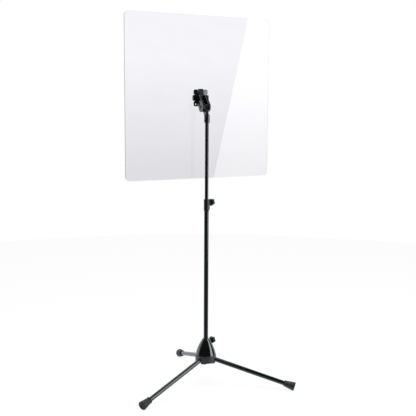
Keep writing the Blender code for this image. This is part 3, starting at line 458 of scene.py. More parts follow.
def rod(name, radius, bottom, top, place, edge=0.0, sides=SMALL_SIDES):
    profile = [(0.0, top), (radius, top), (radius, bottom), (0.0, bottom)]
    if edge:
        profile = fillet(profile, edge, closed=False)
    return lathe(name, profile, place, sides)


def prism(name, outline, low, high, place, edge=0.0):
    """Extrude a flat outline along Z and soften its two rims."""
    work = bmesh.new()
    under = [work.verts.new((x, y, low)) for x, y in outline]
    over = [work.verts.new((x, y, high)) for x, y in outline]
    work.faces.new(list(reversed(under)))
    work.faces.new(over)
    for i in range(len(outline)):
        j = (i + 1) % len(outline)
        work.faces.new((under[i], under[j], over[j], over[i]))
    solid = shape(name, work, place)
    if edge:
        soften(solid, edge)
    return solid


def block(name, low, high, place):
    outline = [(low[0], low[1]), (high[0], low[1]), (high[0], high[1]), (low[0], high[1])]
    return prism(name, outline, low[2], high[2], place)


def bake_shape(solid):
    """Replace a piece's mesh by what its modifiers make of it."""
    bpy.context.view_layer.update()
    shown = solid.evaluated_get(bpy.context.evaluated_depsgraph_get())
    mesh = bpy.data.meshes.new_from_object(shown)
    solid.modifiers.clear()
    solid.data = mesh
    mesh.name = solid.name


def soften(solid, width, segments=3, angle=40):
    """Round a piece's sharp edges."""
    bevel = solid.modifiers.new("Soft edges", "BEVEL")
    bevel.width = width
    bevel.segments = segments
    bevel.limit_method = "ANGLE"
    bevel.angle_limit = math.radians(angle)
    bake_shape(solid)


def combine(solid, tools, operation):
    """Cut, join or intersect a piece with tools, which are then removed."""
    for tool in tools:
        step = solid.modifiers.new(tool.name, "BOOLEAN")
        step.operation = operation
        step.object = tool
    bake_shape(solid)
    for tool in tools:
        bpy.data.objects.remove(tool)


def cut(solid, *tools):
    combine(solid, tools, "DIFFERENCE")


def join(solid, *tools):
    combine(solid, tools, "UNION")


def keep_inside(solid, tool):
    combine(solid, [tool], "INTERSECT")


def dress(solid, body, slot, node, finish=None):
    """Finish a piece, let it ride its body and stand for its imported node.

    The finish is the slot's own one, unless another is named.
    """
    solid.data.materials.clear()
    solid.data.materials.append(FINISHES[finish or slot])
    solid.data.shade_smooth()
    solid.data.set_sharp_from_angle(angle=math.radians(SHARP_ANGLE))
    weighted = solid.modifiers.new("Even shading", "WEIGHTED_NORMAL")
    weighted.keep_sharp = True
    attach(solid, body)
    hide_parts(node)


# Finishes

def new_finish(name):
    material = bpy.data.materials.new(name)
    material.use_nodes = True
    tree = material.node_tree
    return material, tree, tree.nodes["Principled BSDF"]


def add_node(tree, kind, **settings):
    node = tree.nodes.new(kind)
    for name, value in settings.items():
        setattr(node, name, value)
    return node


def link(tree, source, target):
    """Let a socket take its value from another node, or a plain value."""
    if isinstance(source, bpy.types.NodeSocket):
        tree.links.new(source, target)
    else:
        target.default_value = source


def grain(tree, scale, detail=3.0, stretch=(1.0, 1.0, 1.0)):
    """Noise that is fixed to the piece, with scale in waves per metre."""
    place = add_node(tree, "ShaderNodeTexCoord")
    mapping = add_node(tree, "ShaderNodeMapping")
    mapping.inputs["Scale"].default_value = stretch
    noise = add_node(tree, "ShaderNodeTexNoise")
    noise.inputs["Scale"].default_value = scale
    noise.inputs["Detail"].default_value = detail
    link(tree, place.outputs["Object"], mapping.inputs["Vector"])
    link(tree, mapping.outputs["Vector"], noise.inputs["Vector"])
    return noise.outputs["Fac"]


def spread(tree, source, low, high, start=0.3, end=0.7):
    """A value that goes from low to high while its source goes from start to end."""
    node = add_node(tree, "ShaderNodeMapRange")
    node.inputs["From Min"].default_value = start
    node.inputs["From Max"].default_value = end
    node.inputs["To Min"].default_value = low
    node.inputs["To Max"].default_value = high
    link(tree, source, node.inputs["Value"])
    return node.outputs["Result"]


def choose(tree, share, base, over):
    """One shader over another, by a share or by the kind of ray."""
    mix = add_node(tree, "ShaderNodeMixShader")
    link(tree, share, mix.inputs["Fac"])
    link(tree, base, mix.inputs[1])
    link(tree, over, mix.inputs[2])
    return mix.outputs["Shader"]


def tones(tree, source, dark, light, start=0.35, end=0.65):
    """A colour from dark to light as its source rises."""
    ramp = add_node(tree, "ShaderNodeValToRGB")
    ramp.color_ramp.elements[0].position = start
    ramp.color_ramp.elements[0].color = (*dark, 1.0)
    ramp.color_ramp.elements[1].position = end
    ramp.color_ramp.elements[1].color = (*light, 1.0)
    link(tree, source, ramp.inputs["Fac"])
    return ramp.outputs["Color"]


def along(tree, vector, direction):
    """How far a vector goes in a direction."""
    node = add_node(tree, "ShaderNodeVectorMath", operation="DOT_PRODUCT")
    link(tree, vector, node.inputs[0])
    link(tree, direction, node.inputs[1])
    return node.outputs["Value"]


def edge_mask(tree, radius):
    """White on edges that are rubbed, black on flat faces."""
    bevel = add_node(tree, "ShaderNodeBevel", samples=4)
    bevel.inputs["Radius"].default_value = radius
    face = add_node(tree, "ShaderNodeNewGeometry").outputs["Normal"]
    return spread(tree, along(tree, bevel.outputs["Normal"], face), 1.0, 0.0, *RUBBED_BEND)


def mixed(tree, share, base, over, kind="RGBA"):
    """One colour or number over another, by a share."""
    mix = add_node(tree, "ShaderNodeMix", data_type=kind)
    first, second, result = {"RGBA": (6, 7, 2), "FLOAT": (2, 3, 0)}[kind]
    link(tree, share, mix.inputs[0])
    link(tree, base, mix.inputs[first])
    link(tree, over, mix.inputs[second])
    return mix.outputs[result]


def times(tree, first, second):
    product = add_node(tree, "ShaderNodeMath", operation="MULTIPLY")
    link(tree, first, product.inputs[0])
    link(tree, second, product.inputs[1])
    return product.outputs["Value"]


def add_bump(tree, shader, source, strength, distance):
    bump = add_node(tree, "ShaderNodeBump")
    bump.inputs["Strength"].default_value = strength
    bump.inputs["Distance"].default_value = distance
    link(tree, source, bump.inputs["Height"])
    link(tree, bump.outputs["Normal"], shader.inputs["Normal"])


def gloss(shader, level):
    """How much a surface mirrors, with the faint blue of black paint."""
    shader.inputs["Specular IOR Level"].default_value = level
    shader.inputs["Specular Tint"].default_value = (0.90, 0.98, 1.0, 1.0)


def lacquer(shader, weight):
    """A clear coat over a paint."""
    shader.inputs["Coat Weight"].default_value = weight
    shader.inputs["Coat Roughness"].default_value = 0.06


def worn_surface(name, dark, light, worn, rough, patch, fine, depth, wear_radius, wear_share,
                 mirror=0.0, coat=0.0, metal=0.0):
    """A surface with broad tone patches, a fine skin and rubbed edges."""
    material, tree, shader = new_finish(name)
    patches = grain(tree, patch, 4.0)
    skin = grain(tree, fine, 3.0)
    flecks = spread(tree, grain(tree, fine / 4, 5.0), 0.0, wear_share, *FLECKS)
    rubbed = times(tree, edge_mask(tree, wear_radius), flecks)
    colour = mixed(tree, rubbed, tones(tree, patches, dark, light), (*worn, 1.0))
    link(tree, colour, shader.inputs["Base Color"])
    roughness = spread(tree, patches, rough[0], rough[1])
    link(tree, mixed(tree, rubbed, roughness, rough[1] + RUBBED_ROUGHER, "FLOAT"),
         shader.inputs["Roughness"])
    add_bump(tree, shader, skin, SKIN_STRENGTH, depth)
    shader.inputs["Metallic"].default_value = metal
    if mirror:
        gloss(shader, mirror)
    if coat:
        lacquer(shader, coat)
    return material


def tube_paint():
    """Gloss black powder coat with a slight orange peel."""
    return worn_surface(
        "gloss_black_paint",
        dark=(0.0014, 0.0023, 0.0036), light=(0.0028, 0.0043, 0.0062), worn=(0.018, 0.020, 0.022),
        rough=(0.10, 0.16), patch=30, fine=420, depth=0.00001, wear_radius=0.0004,
        wear_share=0.25, mirror=1.0)


def bell_paint():
    """Gloss black paint on the bell casting."""
    return worn_surface(
        "gloss_black_casting",
        dark=(0.0016, 0.0018, 0.0020), light=(0.0030, 0.0034, 0.0038), worn=(0.026, 0.029, 0.031),
        rough=(0.09, 0.15), patch=45, fine=380, depth=0.00001, wear_radius=0.0006,
        wear_share=0.35, mirror=1.0, coat=0.7)


def casting_paint():
    """Satin dark paint on the other castings, with a sandy skin."""
    return worn_surface(
        "satin_casting",
        dark=(0.009, 0.011, 0.014), light=(0.018, 0.021, 0.025), worn=(0.085, 0.092, 0.098),
        rough=(0.30, 0.42), patch=80, fine=900, depth=0.00006, wear_radius=0.0006,
        wear_share=0.6, mirror=1.0)


def head_paint():
    """The same paint on the tilting head, where it is thinner and shinier."""
    return worn_surface(
        "head_casting",
        dark=(0.0024, 0.0030, 0.0036), light=(0.0052, 0.0062, 0.0070), worn=(0.060, 0.066, 0.070),
        rough=(0.14, 0.22), patch=80, fine=900, depth=0.00004, wear_radius=0.0006,
        wear_share=0.6, mirror=1.0, coat=0.3)


def moulded_plastic():
    """Black nylon with a fine spark-eroded grain."""
    return worn_surface(
        "black_plastic",
        dark=(0.0030, 0.0038, 0.0060), light=(0.0062, 0.0076, 0.0105), worn=(0.024, 0.027, 0.030),
        rough=(0.20, 0.30), patch=120, fine=1600, depth=0.00003, wear_radius=0.0005,
        wear_share=0.4, mirror=0.9)


def nylon():
    """Plain grey nylon, a little cloudy."""
    return worn_surface(
        "grey_nylon",
        dark=(0.19, 0.19, 0.20), light=(0.26, 0.26, 0.27), worn=(0.34, 0.34, 0.34),
        rough=(0.42, 0.55), patch=150, fine=1200, depth=0.00004, wear_radius=0.0004,
        wear_share=0.5)


def rubber():
    """Matt moulded rubber with a light bloom."""
    return worn_surface(
        "black_rubber",
        dark=(0.0090, 0.0112, 0.0140), light=(0.0180, 0.0215, 0.0250), worn=(0.050, 0.055, 0.060),
        rough=(0.40, 0.54), patch=90, fine=1300, depth=0.00008, wear_radius=0.0008,
        wear_share=0.8, mirror=0.7)


def zinc():
    """Zinc plate, with the crystal patches of plated steel and drawn lines."""
    material, tree, shader = new_finish("zinc_steel")
    patches = grain(tree, 500, 2.0)
    lines = grain(tree, 260, 3.0, (1.0, 1.0, 14.0))
    link(tree, tones(tree, patches, (0.42, 0.43, 0.44), (0.60, 0.61, 0.62)),
         shader.inputs["Base Color"])
    link(tree, spread(tree, lines, 0.22, 0.42), shader.inputs["Roughness"])
    shader.inputs["Metallic"].default_value = 1.0
    add_bump(tree, shader, lines, 0.3, 0.00002)
    return material


def black_oxide():
    """Black oxide steel, browner and shinier where it is handled."""
    return worn_surface(
        "black_steel",
        dark=(0.020, 0.020, 0.021), light=(0.045, 0.043, 0.042), worn=(0.200, 0.198, 0.195),
        rough=(0.26, 0.42), patch=300, fine=1500, depth=0.00003, wear_radius=0.0003,
        wear_share=0.9, metal=0.85)


def clear_sheet():
    """Clear cast acrylic, with faint wiping marks. Lamps shine through it."""
    material, tree, shader = new_finish("clear_acrylic")
    smears = grain(tree, 9, 5.0, (1.0, 1.0, 2.2))
    link(tree, tones(tree, smears, (0.965, 0.965, 0.980), (0.980, 0.980, 0.992)),
         shader.inputs["Base Color"])
    link(tree, spread(tree, smears, 0.0, 0.02, 0.45, 0.75), shader.inputs["Roughness"])
    shader.inputs["Transmission Weight"].default_value = 1.0
    shader.inputs["IOR"].default_value = 1.49
    passing = add_node(tree, "ShaderNodeBsdfTransparent")
    passing.inputs["Color"].default_value = (0.90, 0.90, 0.92, 1.0)
    path = add_node(tree, "ShaderNodeLightPath")
    look = choose(tree, path.outputs["Is Shadow Ray"], shader.outputs["BSDF"],
                  passing.outputs["BSDF"])
    link(tree, look, tree.nodes["Material Output"].inputs["Surface"])
    return material


FINISHES = {
    "gloss_black_tube": tube_paint(),
    "gloss_black_casting": bell_paint(),
    "satin_casting": casting_paint(),
    "head_casting": head_paint(),
    "black_plastic": moulded_plastic(),
    "grey_nylon": nylon(),
    "black_rubber": rubber(),
    "zinc_steel": zinc(),
    "black_steel": black_oxide(),
    "clear_acrylic": clear_sheet(),
}


def finish_cad_nodes():
    """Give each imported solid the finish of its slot, since some stay in view."""
    slots = {part["node"]: part["material_slot"] for part in frame["record"]["subparts"]}
    for node, solid in frame["nodes"].items():
        for holder in solid.material_slots:
            holder.material = FINISHES[slots[node]]


# The stand's base

def bell_line(share, bottom, top):
    """Radius and height on the bell's outer face, from the collar at 0 to the rim at 1."""
    height = top - bottom
    width = BELL_RIM_RADIUS - BELL_COLLAR_RADIUS
    swell = 4 * BELL_BULGE * share * (1 - share) / math.hypot(width, height)
    radius = BELL_COLLAR_RADIUS + width * share + swell * height
    return radius, top - height * share + swell * width


def make_bell():
    """The bell with its pole collar, the knob's boss and three screw pillars."""
    bottom, top = heights_of("bell_housing")
    outer = [bell_line(i / BELL_STEPS, bottom, top) for i in range(BELL_STEPS + 1)]
    inner = []
    for i in range(BELL_STEPS, -1, -1):
        share = CAVITY_START + (1 - CAVITY_START) * i / BELL_STEPS
        radius, height = bell_line(share, bottom, top)
        inner.append((radius - BELL_WALL, height))
    tube_bottom = bottom + BELL_TUBE_RISE
    tube = [(BELL_TUBE_RADIUS, inner[-1][1]), (BELL_TUBE_RADIUS, tube_bottom),
            (BELL_BORE, tube_bottom), (BELL_BORE, top)]
    bell = lathe("bell", outer + inner + tube, POLE, closed=True)
    line = knob_line("base_knob_screw")
    parts = [rod("bell_boss", BOSS_RADIUS, BELL_BORE + BASE_BOSS_ROOT, BASE_BOSS_REACH, line,
                 BASE_BOSS_EDGE)]
    holes = [rod("bell_screw_hole", BASE_SCREW_HOLE, POLE_RADIUS, BASE_BOSS_REACH + GAP, line)]
    for azimuth in LEG_AZIMUTHS.values():
        x, y = polar(PILLAR_REACH, azimuth + BETWEEN_LEGS)
        foot = POLE @ at(x, y, bottom)
        parts.append(rod("pillar", PILLAR_RADIUS, 0, PILLAR_HEIGHT, foot))
        holes.append(rod("pillar_hole", HUB_SCREW_RADIUS, -GAP, HUB_SCREW_GRIP, foot))
    join(bell, *parts)
    cut(bell, *holes)
    dress(bell, "base", "gloss_black_casting", "bell_housing")


def pocket_outline():
    """A cored pocket between two leg channels, its middle on +X."""
    inner = HUB_BORE + HUB_SKIRT
    outer = HUB_RADIUS - HUB_SKIRT
    wall = CHANNEL_HALF + HUB_EAR
    inner_half = BETWEEN_LEGS - math.degrees(math.asin(wall / inner))
    outer_half = BETWEEN_LEGS - math.degrees(math.asin(wall / outer))
    return arc(0, 0, outer, -outer_half, outer_half) + arc(0, 0, inner, inner_half, -inner_half)


def make_hub():
    """The casting under the bell, with three leg channels and cored pockets."""
    bottom, top = heights_of("leg_hub")
    deck = top - HUB_DECK
    axis_height = top - HUB_AXIS_DROP
    profile = fillet([(HUB_BORE, top), (HUB_RADIUS, top), (HUB_RADIUS, bottom),
                      (HUB_BORE, bottom)], HUB_EDGE, 4)
    hub = lathe("hub", profile, POLE, closed=True)
    arch_radius = (HUB_ARCH_HALF_SPAN**2 + HUB_ARCH_RISE**2) / (2 * HUB_ARCH_RISE)
    slot_outline = arc(0, 0, SLOT_HALF, 0, 180, 32)
    slot_outline += [(-SLOT_HALF, -SLOT_DROP), (SLOT_HALF, -SLOT_DROP)]
    wall_start = HUB_RADIUS - 2 * HUB_SKIRT
    wall_end = HUB_RADIUS + CUT_PAST
    half = CHANNEL_HALF + HUB_EAR + GAP
    tools = []
    for azimuth in LEG_AZIMUTHS.values():
        line = POLE @ turn_z(azimuth)
        between = POLE @ turn_z(azimuth + BETWEEN_LEGS)
        tools.append(block("channel", (HUB_BORE / 2, -CHANNEL_HALF, bottom - HUB_EDGE),
                           (HUB_RADIUS - HUB_SKIRT, CHANNEL_HALF, top + HUB_EDGE), line))
        tools.append(prism("slot", slot_outline, wall_start, wall_end,
                           line @ at(0, 0, axis_height) @ LEG_TILT @ SIDE_ON))
        tools.append(prism("pocket", pocket_outline(), bottom - CUT_PAST, deck, between))
        tools.append(rod("arch", arch_radius, wall_start, wall_end,
                         between @ at(0, 0, bottom + HUB_ARCH_RISE - arch_radius) @ ALONG_X,
                         sides=ARCH_SIDES))
        tools.append(rod("pin_hole", PIN_RADIUS + GAP, -half, half,
                         line @ at(PIVOT_REACH, 0, middle_of("pivot_pin_back").z) @ FACING_Y))
        tools.append(rod("screw_hole", HUB_SCREW_RADIUS, deck - GAP, top + GAP,
                         between @ at(PILLAR_REACH, 0, 0)))
    cut(hub, *tools)
    soften(hub, HUB_SOFT_EDGE, segments=2, angle=50)
    dress(hub, "base", "satin_casting", "leg_hub")


def foot_profile():
    """Down the outside from the middle of the sole to the mouth, then up the bore."""
    bore = LEG_TUBE_RADIUS + GAP
    points = [(0.0, FOOT_LENGTH)]
    ring_step = (FOOT_END_RADIUS - 2 * FOOT_RIM_ROUND) / (TREAD_RINGS + 1)
    for i in range(1, TREAD_RINGS + 1):
        middle = ring_step * i
        points += [(middle - TREAD_HALF_WIDTH, FOOT_LENGTH),
                   (middle - TREAD_HALF_FLOOR, FOOT_LENGTH - TREAD_DEPTH),
                   (middle + TREAD_HALF_FLOOR, FOOT_LENGTH - TREAD_DEPTH),
                   (middle + TREAD_HALF_WIDTH, FOOT_LENGTH)]
    rim_centre = (FOOT_END_RADIUS - FOOT_RIM_ROUND, FOOT_LENGTH - FOOT_RIM_ROUND)
    points += arc(*rim_centre, FOOT_RIM_ROUND, 90, 0, 8)
    cone_top = FOOT_LENGTH - FOOT_BAND
    cone_end = FOOT_END_RADIUS - FOOT_GROOVE_DEPTH
    pitch = (cone_top - FOOT_LIP_LENGTH) / FOOT_GROOVES
    points += fillet([points[-1], (FOOT_END_RADIUS, cone_top), (cone_end, cone_top - FOOT_STEP)],
                     FOOT_STEP_ROUND, closed=False)[1:]
    for i in range(FOOT_GROOVES):
        for step, sunk in FOOT_GROOVE_STEPS:
            height = cone_top - pitch * (i + step)
            share = (height - FOOT_LIP_LENGTH) / (cone_top - FOOT_LIP_LENGTH)
            radius = FOOT_NECK_RADIUS + (cone_end - FOOT_NECK_RADIUS) * share
            points.append((radius - FOOT_GROOVE_DEPTH * sunk, height))
    points.append((FOOT_NECK_RADIUS - FOOT_GROOVE_DEPTH, FOOT_LIP_LENGTH + FOOT_LIP_STEP))
    lip = FOOT_NECK_RADIUS + FOOT_LIP_HEIGHT
    points += fillet([points[-1], (lip, FOOT_LIP_LENGTH), (lip, SLIGHT_EDGE), (bore, 0.0)],
                     FOOT_LIP_ROUND, 4, closed=False)[1:]
    points += [(bore, FOOT_LENGTH - FOOT_SOLE), (0.0, FOOT_LENGTH - FOOT_SOLE)]
    return points


def make_leg(side, azimuth):
    """A leg tube with its rubber foot."""
    line = at(*middle_of("pivot_pin_" + side)) @ turn_z(azimuth) @ LEG_TILT
    body = "leg_" + side
    tube = pipe("leg_" + side + "_tube", LEG_TUBE_RADIUS, LEG_TUBE_RADIUS - LEG_TUBE_WALL,
                LEG_TUBE_START, LEG_END - FOOT_SOLE - GAP, line @ ALONG_X)
    dress(tube, body, "gloss_black_tube", "leg_tube_" + side)
    foot = lathe("leg_" + side + "_foot", foot_profile(),
                 line @ at(LEG_END - FOOT_LENGTH, 0, 0) @ ALONG_X)
    # The sole lies flat on the floor
    for vertex in foot.data.vertices:
        vertex.co.z = max(vertex.co.z, 0.0)
    dress(foot, body, "black_rubber", "rubber_foot_" + side)


def knob_rows(screw_radius, collar_start):
    """Radius, share of the lobes and height, from the middle of the face to the screw's seat."""
    back = collar_start + KNOB_COLLAR_LENGTH
    face = back + KNOB_THICKNESS
    dish = face - KNOB_DISH_DEPTH
    cap = dish + KNOB_CAP_RISE
    seat = back + KNOB_SCREW_DEPTH
    middle = KNOB_RADIUS - KNOB_ROUND
    rows = [(0.0, 0, cap), (KNOB_CAP_RADIUS - KNOB_CAP_RISE, 0, cap),
            (KNOB_CAP_RADIUS, 0, dish + KNOB_CAP_FOOT), (KNOB_CAP_RADIUS + KNOB_CAP_FOOT, 0, dish),
            (KNOB_DISH_RADIUS - KNOB_DISH_INSET, 0, dish),
            (KNOB_DISH_RADIUS, 0.1, dish + KNOB_DISH_WALL),
            (KNOB_DISH_RADIUS + KNOB_DISH_LIP, 0.2, face - KNOB_DISH_LIP),
            (KNOB_DISH_RADIUS + KNOB_DISH_RIM, 0.3, face)]
    edge = arc(middle, face - KNOB_ROUND, KNOB_ROUND, 90, 0, 6)
    edge += arc(middle, back + KNOB_ROUND, KNOB_ROUND, 0, -90, 6)
    rows += [(radius, 1, height) for radius, height in edge]
    rows += [(KNOB_COLLAR_RADIUS + KNOB_COLLAR_FLARE, 0, back),
             (KNOB_COLLAR_RADIUS, 0, back - KNOB_COLLAR_NECK),
             (KNOB_COLLAR_RADIUS, 0, collar_start + KNOB_COLLAR_EDGE),
             (KNOB_COLLAR_RADIUS - KNOB_COLLAR_EDGE, 0, collar_start),
             (screw_radius, 0, collar_start), (screw_radius, 0, seat), (0.0, 0, seat)]
    return rows


def make_knob(node, body, boss_end, screw_radius):
    """A lobed hand knob with a dished face and a round cap."""
    lines = []
    for radius, share, height in knob_rows(screw_radius, boss_end + 2 * GAP):
        line = []
        for i in range(KNOB_SIDES if radius else 1):
            azimuth = 360 * i / KNOB_SIDES
            lobe = share * KNOB_LOBE * math.cos(math.radians(KNOB_LOBES * azimuth))
            line.append((*polar(radius + lobe, azimuth), height))
        lines.append(line)
    knob = rings(node + "_grip", lines, knob_line(node + "_screw"))
    dress(knob, body, "black_plastic", node)


# Poles and clutch

def make_poles():
    """The lower pole and the thinner one that slides in it."""
    bottom, top = heights_of("lower_tube")
    lower = pipe("pole_lower", POLE_RADIUS, POLE_RADIUS - POLE_WALL, bottom, top, POLE)
    dress(lower, "post", "gloss_black_tube", "lower_tube")
    bottom, top = heights_of("upper_tube")
    upper = pipe("pole_upper", MAST_RADIUS, MAST_RADIUS - MAST_WALL, bottom, top, POLE)
    dress(upper, "mast", "gloss_black_tube", "upper_tube")


def make_clutch():
    """The sleeve on the lower pole, with a rib and the knob's boss."""
    bottom, top = heights_of("clutch_sleeve")
    pole_top = heights_of("lower_tube")[1]
    taper_top = bottom + CLUTCH_TAPER
    profile = fillet([(0.0, top), (CLUTCH_RADIUS, top), (CLUTCH_RADIUS, taper_top),
                      (POLE_RADIUS + 2 * GAP, bottom), (0.0, bottom)],
                     CLUTCH_EDGE, 5, closed=False)
    sleeve = lathe("clutch", profile, POLE)
    x, y = polar(CLUTCH_RIB_REACH, KNOB_AZIMUTH)
    rib_profile = fillet([(0.0, top - CLUTCH_EDGE), (CLUTCH_RIB_RADIUS, top - 2 * CLUTCH_EDGE),
                          (CLUTCH_RIB_RADIUS, taper_top), (0.0, bottom)],
                         CLUTCH_EDGE, 5, closed=False)
    rib = lathe("clutch_rib", rib_profile, POLE @ at(x, y, 0), SMALL_SIDES)
    line = knob_line("clutch_knob_screw")
    boss = rod("clutch_boss", BOSS_RADIUS, 0, CLUTCH_BOSS_REACH, line, CLUTCH_BOSS_EDGE)
    join(sleeve, rib, boss)
    seat_top = top - CLUTCH_LIP
    bore = lathe("clutch_bore", [
        (0.0, top + GAP), (MAST_RADIUS + GAP, top + GAP), (MAST_RADIUS + GAP, seat_top),
        (LINER_SEAT, seat_top), (LINER_SEAT, pole_top), (POLE_RADIUS + GAP, pole_top),
        (POLE_RADIUS + GAP, bottom - GAP), (0.0, bottom - GAP)], POLE)
    hole = rod("clutch_screw_hole", CLUTCH_SCREW_HOLE, 0, CLUTCH_BOSS_REACH + GAP, line)
    cut(sleeve, bore, hole)
    dress(sleeve, "post", "black_plastic", "clutch_sleeve")


# The tilting head

def make_neck():
    """The socket on the upper pole, with the tongue for the tilt bolt."""
    bottom = heights_of("head_neck")[0]
    top = bottom + SOCKET_LENGTH
    socket = lathe("neck", fillet([(0.0, top), (SOCKET_RADIUS, top), (SOCKET_RADIUS, bottom),
                                   (0.0, bottom)], SOCKET_EDGE, 4, closed=False), POLE)
    outline = strap((TILT_SETBACK, middle_of("tilt_nut").z), TONGUE_RADIUS,
                    (0.0, top - TONGUE_ROOT_DROP), TONGUE_ROOT_RADIUS)
    half = TONGUE_THICKNESS / 2
    tongue = prism("tongue", outline, -half, half, POLE @ SIDE_ON, SOCKET_EDGE)
    join(socket, tongue)
    cut(socket,
        rod("socket_bore", MAST_RADIUS + GAP, bottom - GAP, bottom + SOCKET_BORE_DEPTH, POLE,
            sides=ROUND_SIDES),
        rod("tongue_hole", TILT_HOLE, -TONGUE_THICKNESS, TONGUE_THICKNESS, HEAD @ ALONG_X),
        rod("grub_hole", SOCKET_SCREW_HOLE, 0, 2 * SOCKET_RADIUS,
            POLE @ at(0, 0, bottom + SOCKET_SCREW_RISE) @ ALONG_Y))
    dress(socket, "mast", "satin_casting", "head_neck", "head_casting")


def make_fork():
    """Two cheeks beside the tongue, with a web and a round flange."""
    hub = (FORK_REACH - FORK_ARM_RADIUS - GAP, FORK_RISE)
    outline = strap((0.0, 0.0), CHEEK_RADIUS, hub, FORK_ARM_RADIUS, steps=28)
    outer = CHEEK_INNER + CHEEK_THICKNESS
    fork = prism("fork", outline, -outer, -CHEEK_INNER, HEAD @ SIDE_ON, CHEEK_EDGE)
    other = prism("far_cheek", outline, CHEEK_INNER, outer, HEAD @ SIDE_ON, CHEEK_EDGE)
    middle = (CHEEK_INNER + outer) / 2
    half = FORK_ARM_RADIUS * FORK_WEB_SHARE
    web = block("web", (-middle, FORK_REACH - FORK_WEB_DEPTH, -half),
                (middle, FORK_REACH - GAP, half), SHIELD)
    flange = rod("flange", FORK_FLANGE_RADIUS, FORK_REACH - FORK_FLANGE_THICKNESS, FORK_REACH,
                 SHIELD @ ALONG_Y, FORK_FLANGE_EDGE, ROUND_SIDES)
    join(fork, other, web, flange)
    recess = TILT_HEAD_RADIUS + GAP
    depth = TILT_HEAD_THICKNESS + GAP
    reach = outer + GAP
    cut(fork,
        rod("tilt_hole", TILT_HOLE, -reach, reach, HEAD @ ALONG_X),
        rod("head_recess", recess, -reach, depth - outer, HEAD @ ALONG_X),
        rod("nut_recess", recess, outer - depth, reach, HEAD @ ALONG_X),
        rod("fork_screw_hole", CENTRE_SCREW_RADIUS + GAP, FORK_REACH - FORK_SCREW_DEPTH,
            FORK_REACH + GAP, SHIELD @ ALONG_Y))
    dress(fork, "shield", "satin_casting", "tilt_fork", "head_casting")


def make_tilt_hardware():
    """The tilt bolt, its nut and the two friction washers."""
    outer = CHEEK_INNER + CHEEK_THICKNESS
    seat = outer - TILT_HEAD_THICKNESS
    head_face = TILT_HEAD_SUNK - outer
    line = HEAD @ ALONG_X
    profile = fillet([(0.0, outer - GAP), (TILT_BOLT_RADIUS, outer - GAP),
                      (TILT_BOLT_RADIUS, -seat), (TILT_HEAD_RADIUS, -seat),
                      (TILT_HEAD_RADIUS, head_face), (0.0, head_face)],
                     TILT_HEAD_ROUND, 4, closed=False)
    bolt = lathe("tilt_screw", profile, line, SMALL_SIDES)
    cut(bolt, rod("hex", TILT_HEX_RADIUS, -outer - GAP, -outer + TILT_HEX_DEPTH, line,
                  sides=HEX_SIDES))
    dress(bolt, "shield", "black_steel", "tilt_bolt")
    nut = rod("tilt_hex_nut", TILT_HEAD_RADIUS, seat, outer - 2 * GAP, line, sides=HEX_SIDES)
    soften(nut, TILT_NUT_EDGE, segments=2)
    cut(nut, rod("nut_hole", TILT_HOLE, seat - GAP, outer, line))
    dress(nut, "shield", "zinc_steel", "tilt_nut")
    half = WASHER_THICKNESS / 2
    middle = TONGUE_THICKNESS / 2 + GAP + half
    for side, x in (("right", middle), ("left", -middle)):
        washer = pipe("tilt_washer_" + side, WASHER_RADIUS, TILT_HOLE, -half, half,
                      HEAD @ at(x, 0, 0) @ ALONG_X, SLIGHT_EDGE)
        dress(washer, "shield", "grey_nylon", "friction_washer_" + side)


def cross_outline():
    """A cross along X and Z with rounded ends and a soft inner corner."""
    half = BRACKET_ARM_WIDTH / 2
    points = []
    for quarter, span in enumerate([BRACKET_ARM_SPAN_X, BRACKET_ARM_SPAN_Z] * 2):
        end = span / 2 - BRACKET_ARM_ROUND
        side = half - BRACKET_ARM_ROUND - BRACKET_ARM_DRAFT
        arm = [(half, -half)]
        arm += arc(end, -side, BRACKET_ARM_ROUND, -90, 0, 8)
        arm += arc(end, side, BRACKET_ARM_ROUND, 0, 90, 8)
        turn = math.radians(90 * quarter)
        cosine = round(math.cos(turn))
        sine = round(math.sin(turn))
        points += [(x * cosine - y * sine, x * sine + y * cosine) for x, y in arm]
    return points


def screw_lines():
    """The four lines through the bracket and the panel that the screws lie on."""
    reach = BRACKET_SCREW_REACH
    places = {"right": (reach, 0.0), "top": (0.0, reach), "left": (-reach, 0.0),
              "bottom": (0.0, -reach)}
    return {side: SHIELD @ at(x, 0, z) @ ALONG_Y for side, (x, z) in places.items()}


def screw_holes(near, far):
    return [rod("screw_hole", PANEL_HOLE, near, far, line) for line in screw_lines().values()]


def crown(peak):
    """A body whose rear face is flat in the middle and falls away outside it."""
    drop = (CROWN_REACH - CROWN_FLAT) * math.tan(math.radians(CROWN_SLOPE))
    rows = [(0.0, PANEL_FACE), (CROWN_REACH, PANEL_FACE), (CROWN_REACH, peak + drop),
            (CROWN_FLAT, peak), (0.0, peak)]
    return lathe("crown", rows, SHIELD @ ALONG_Y)


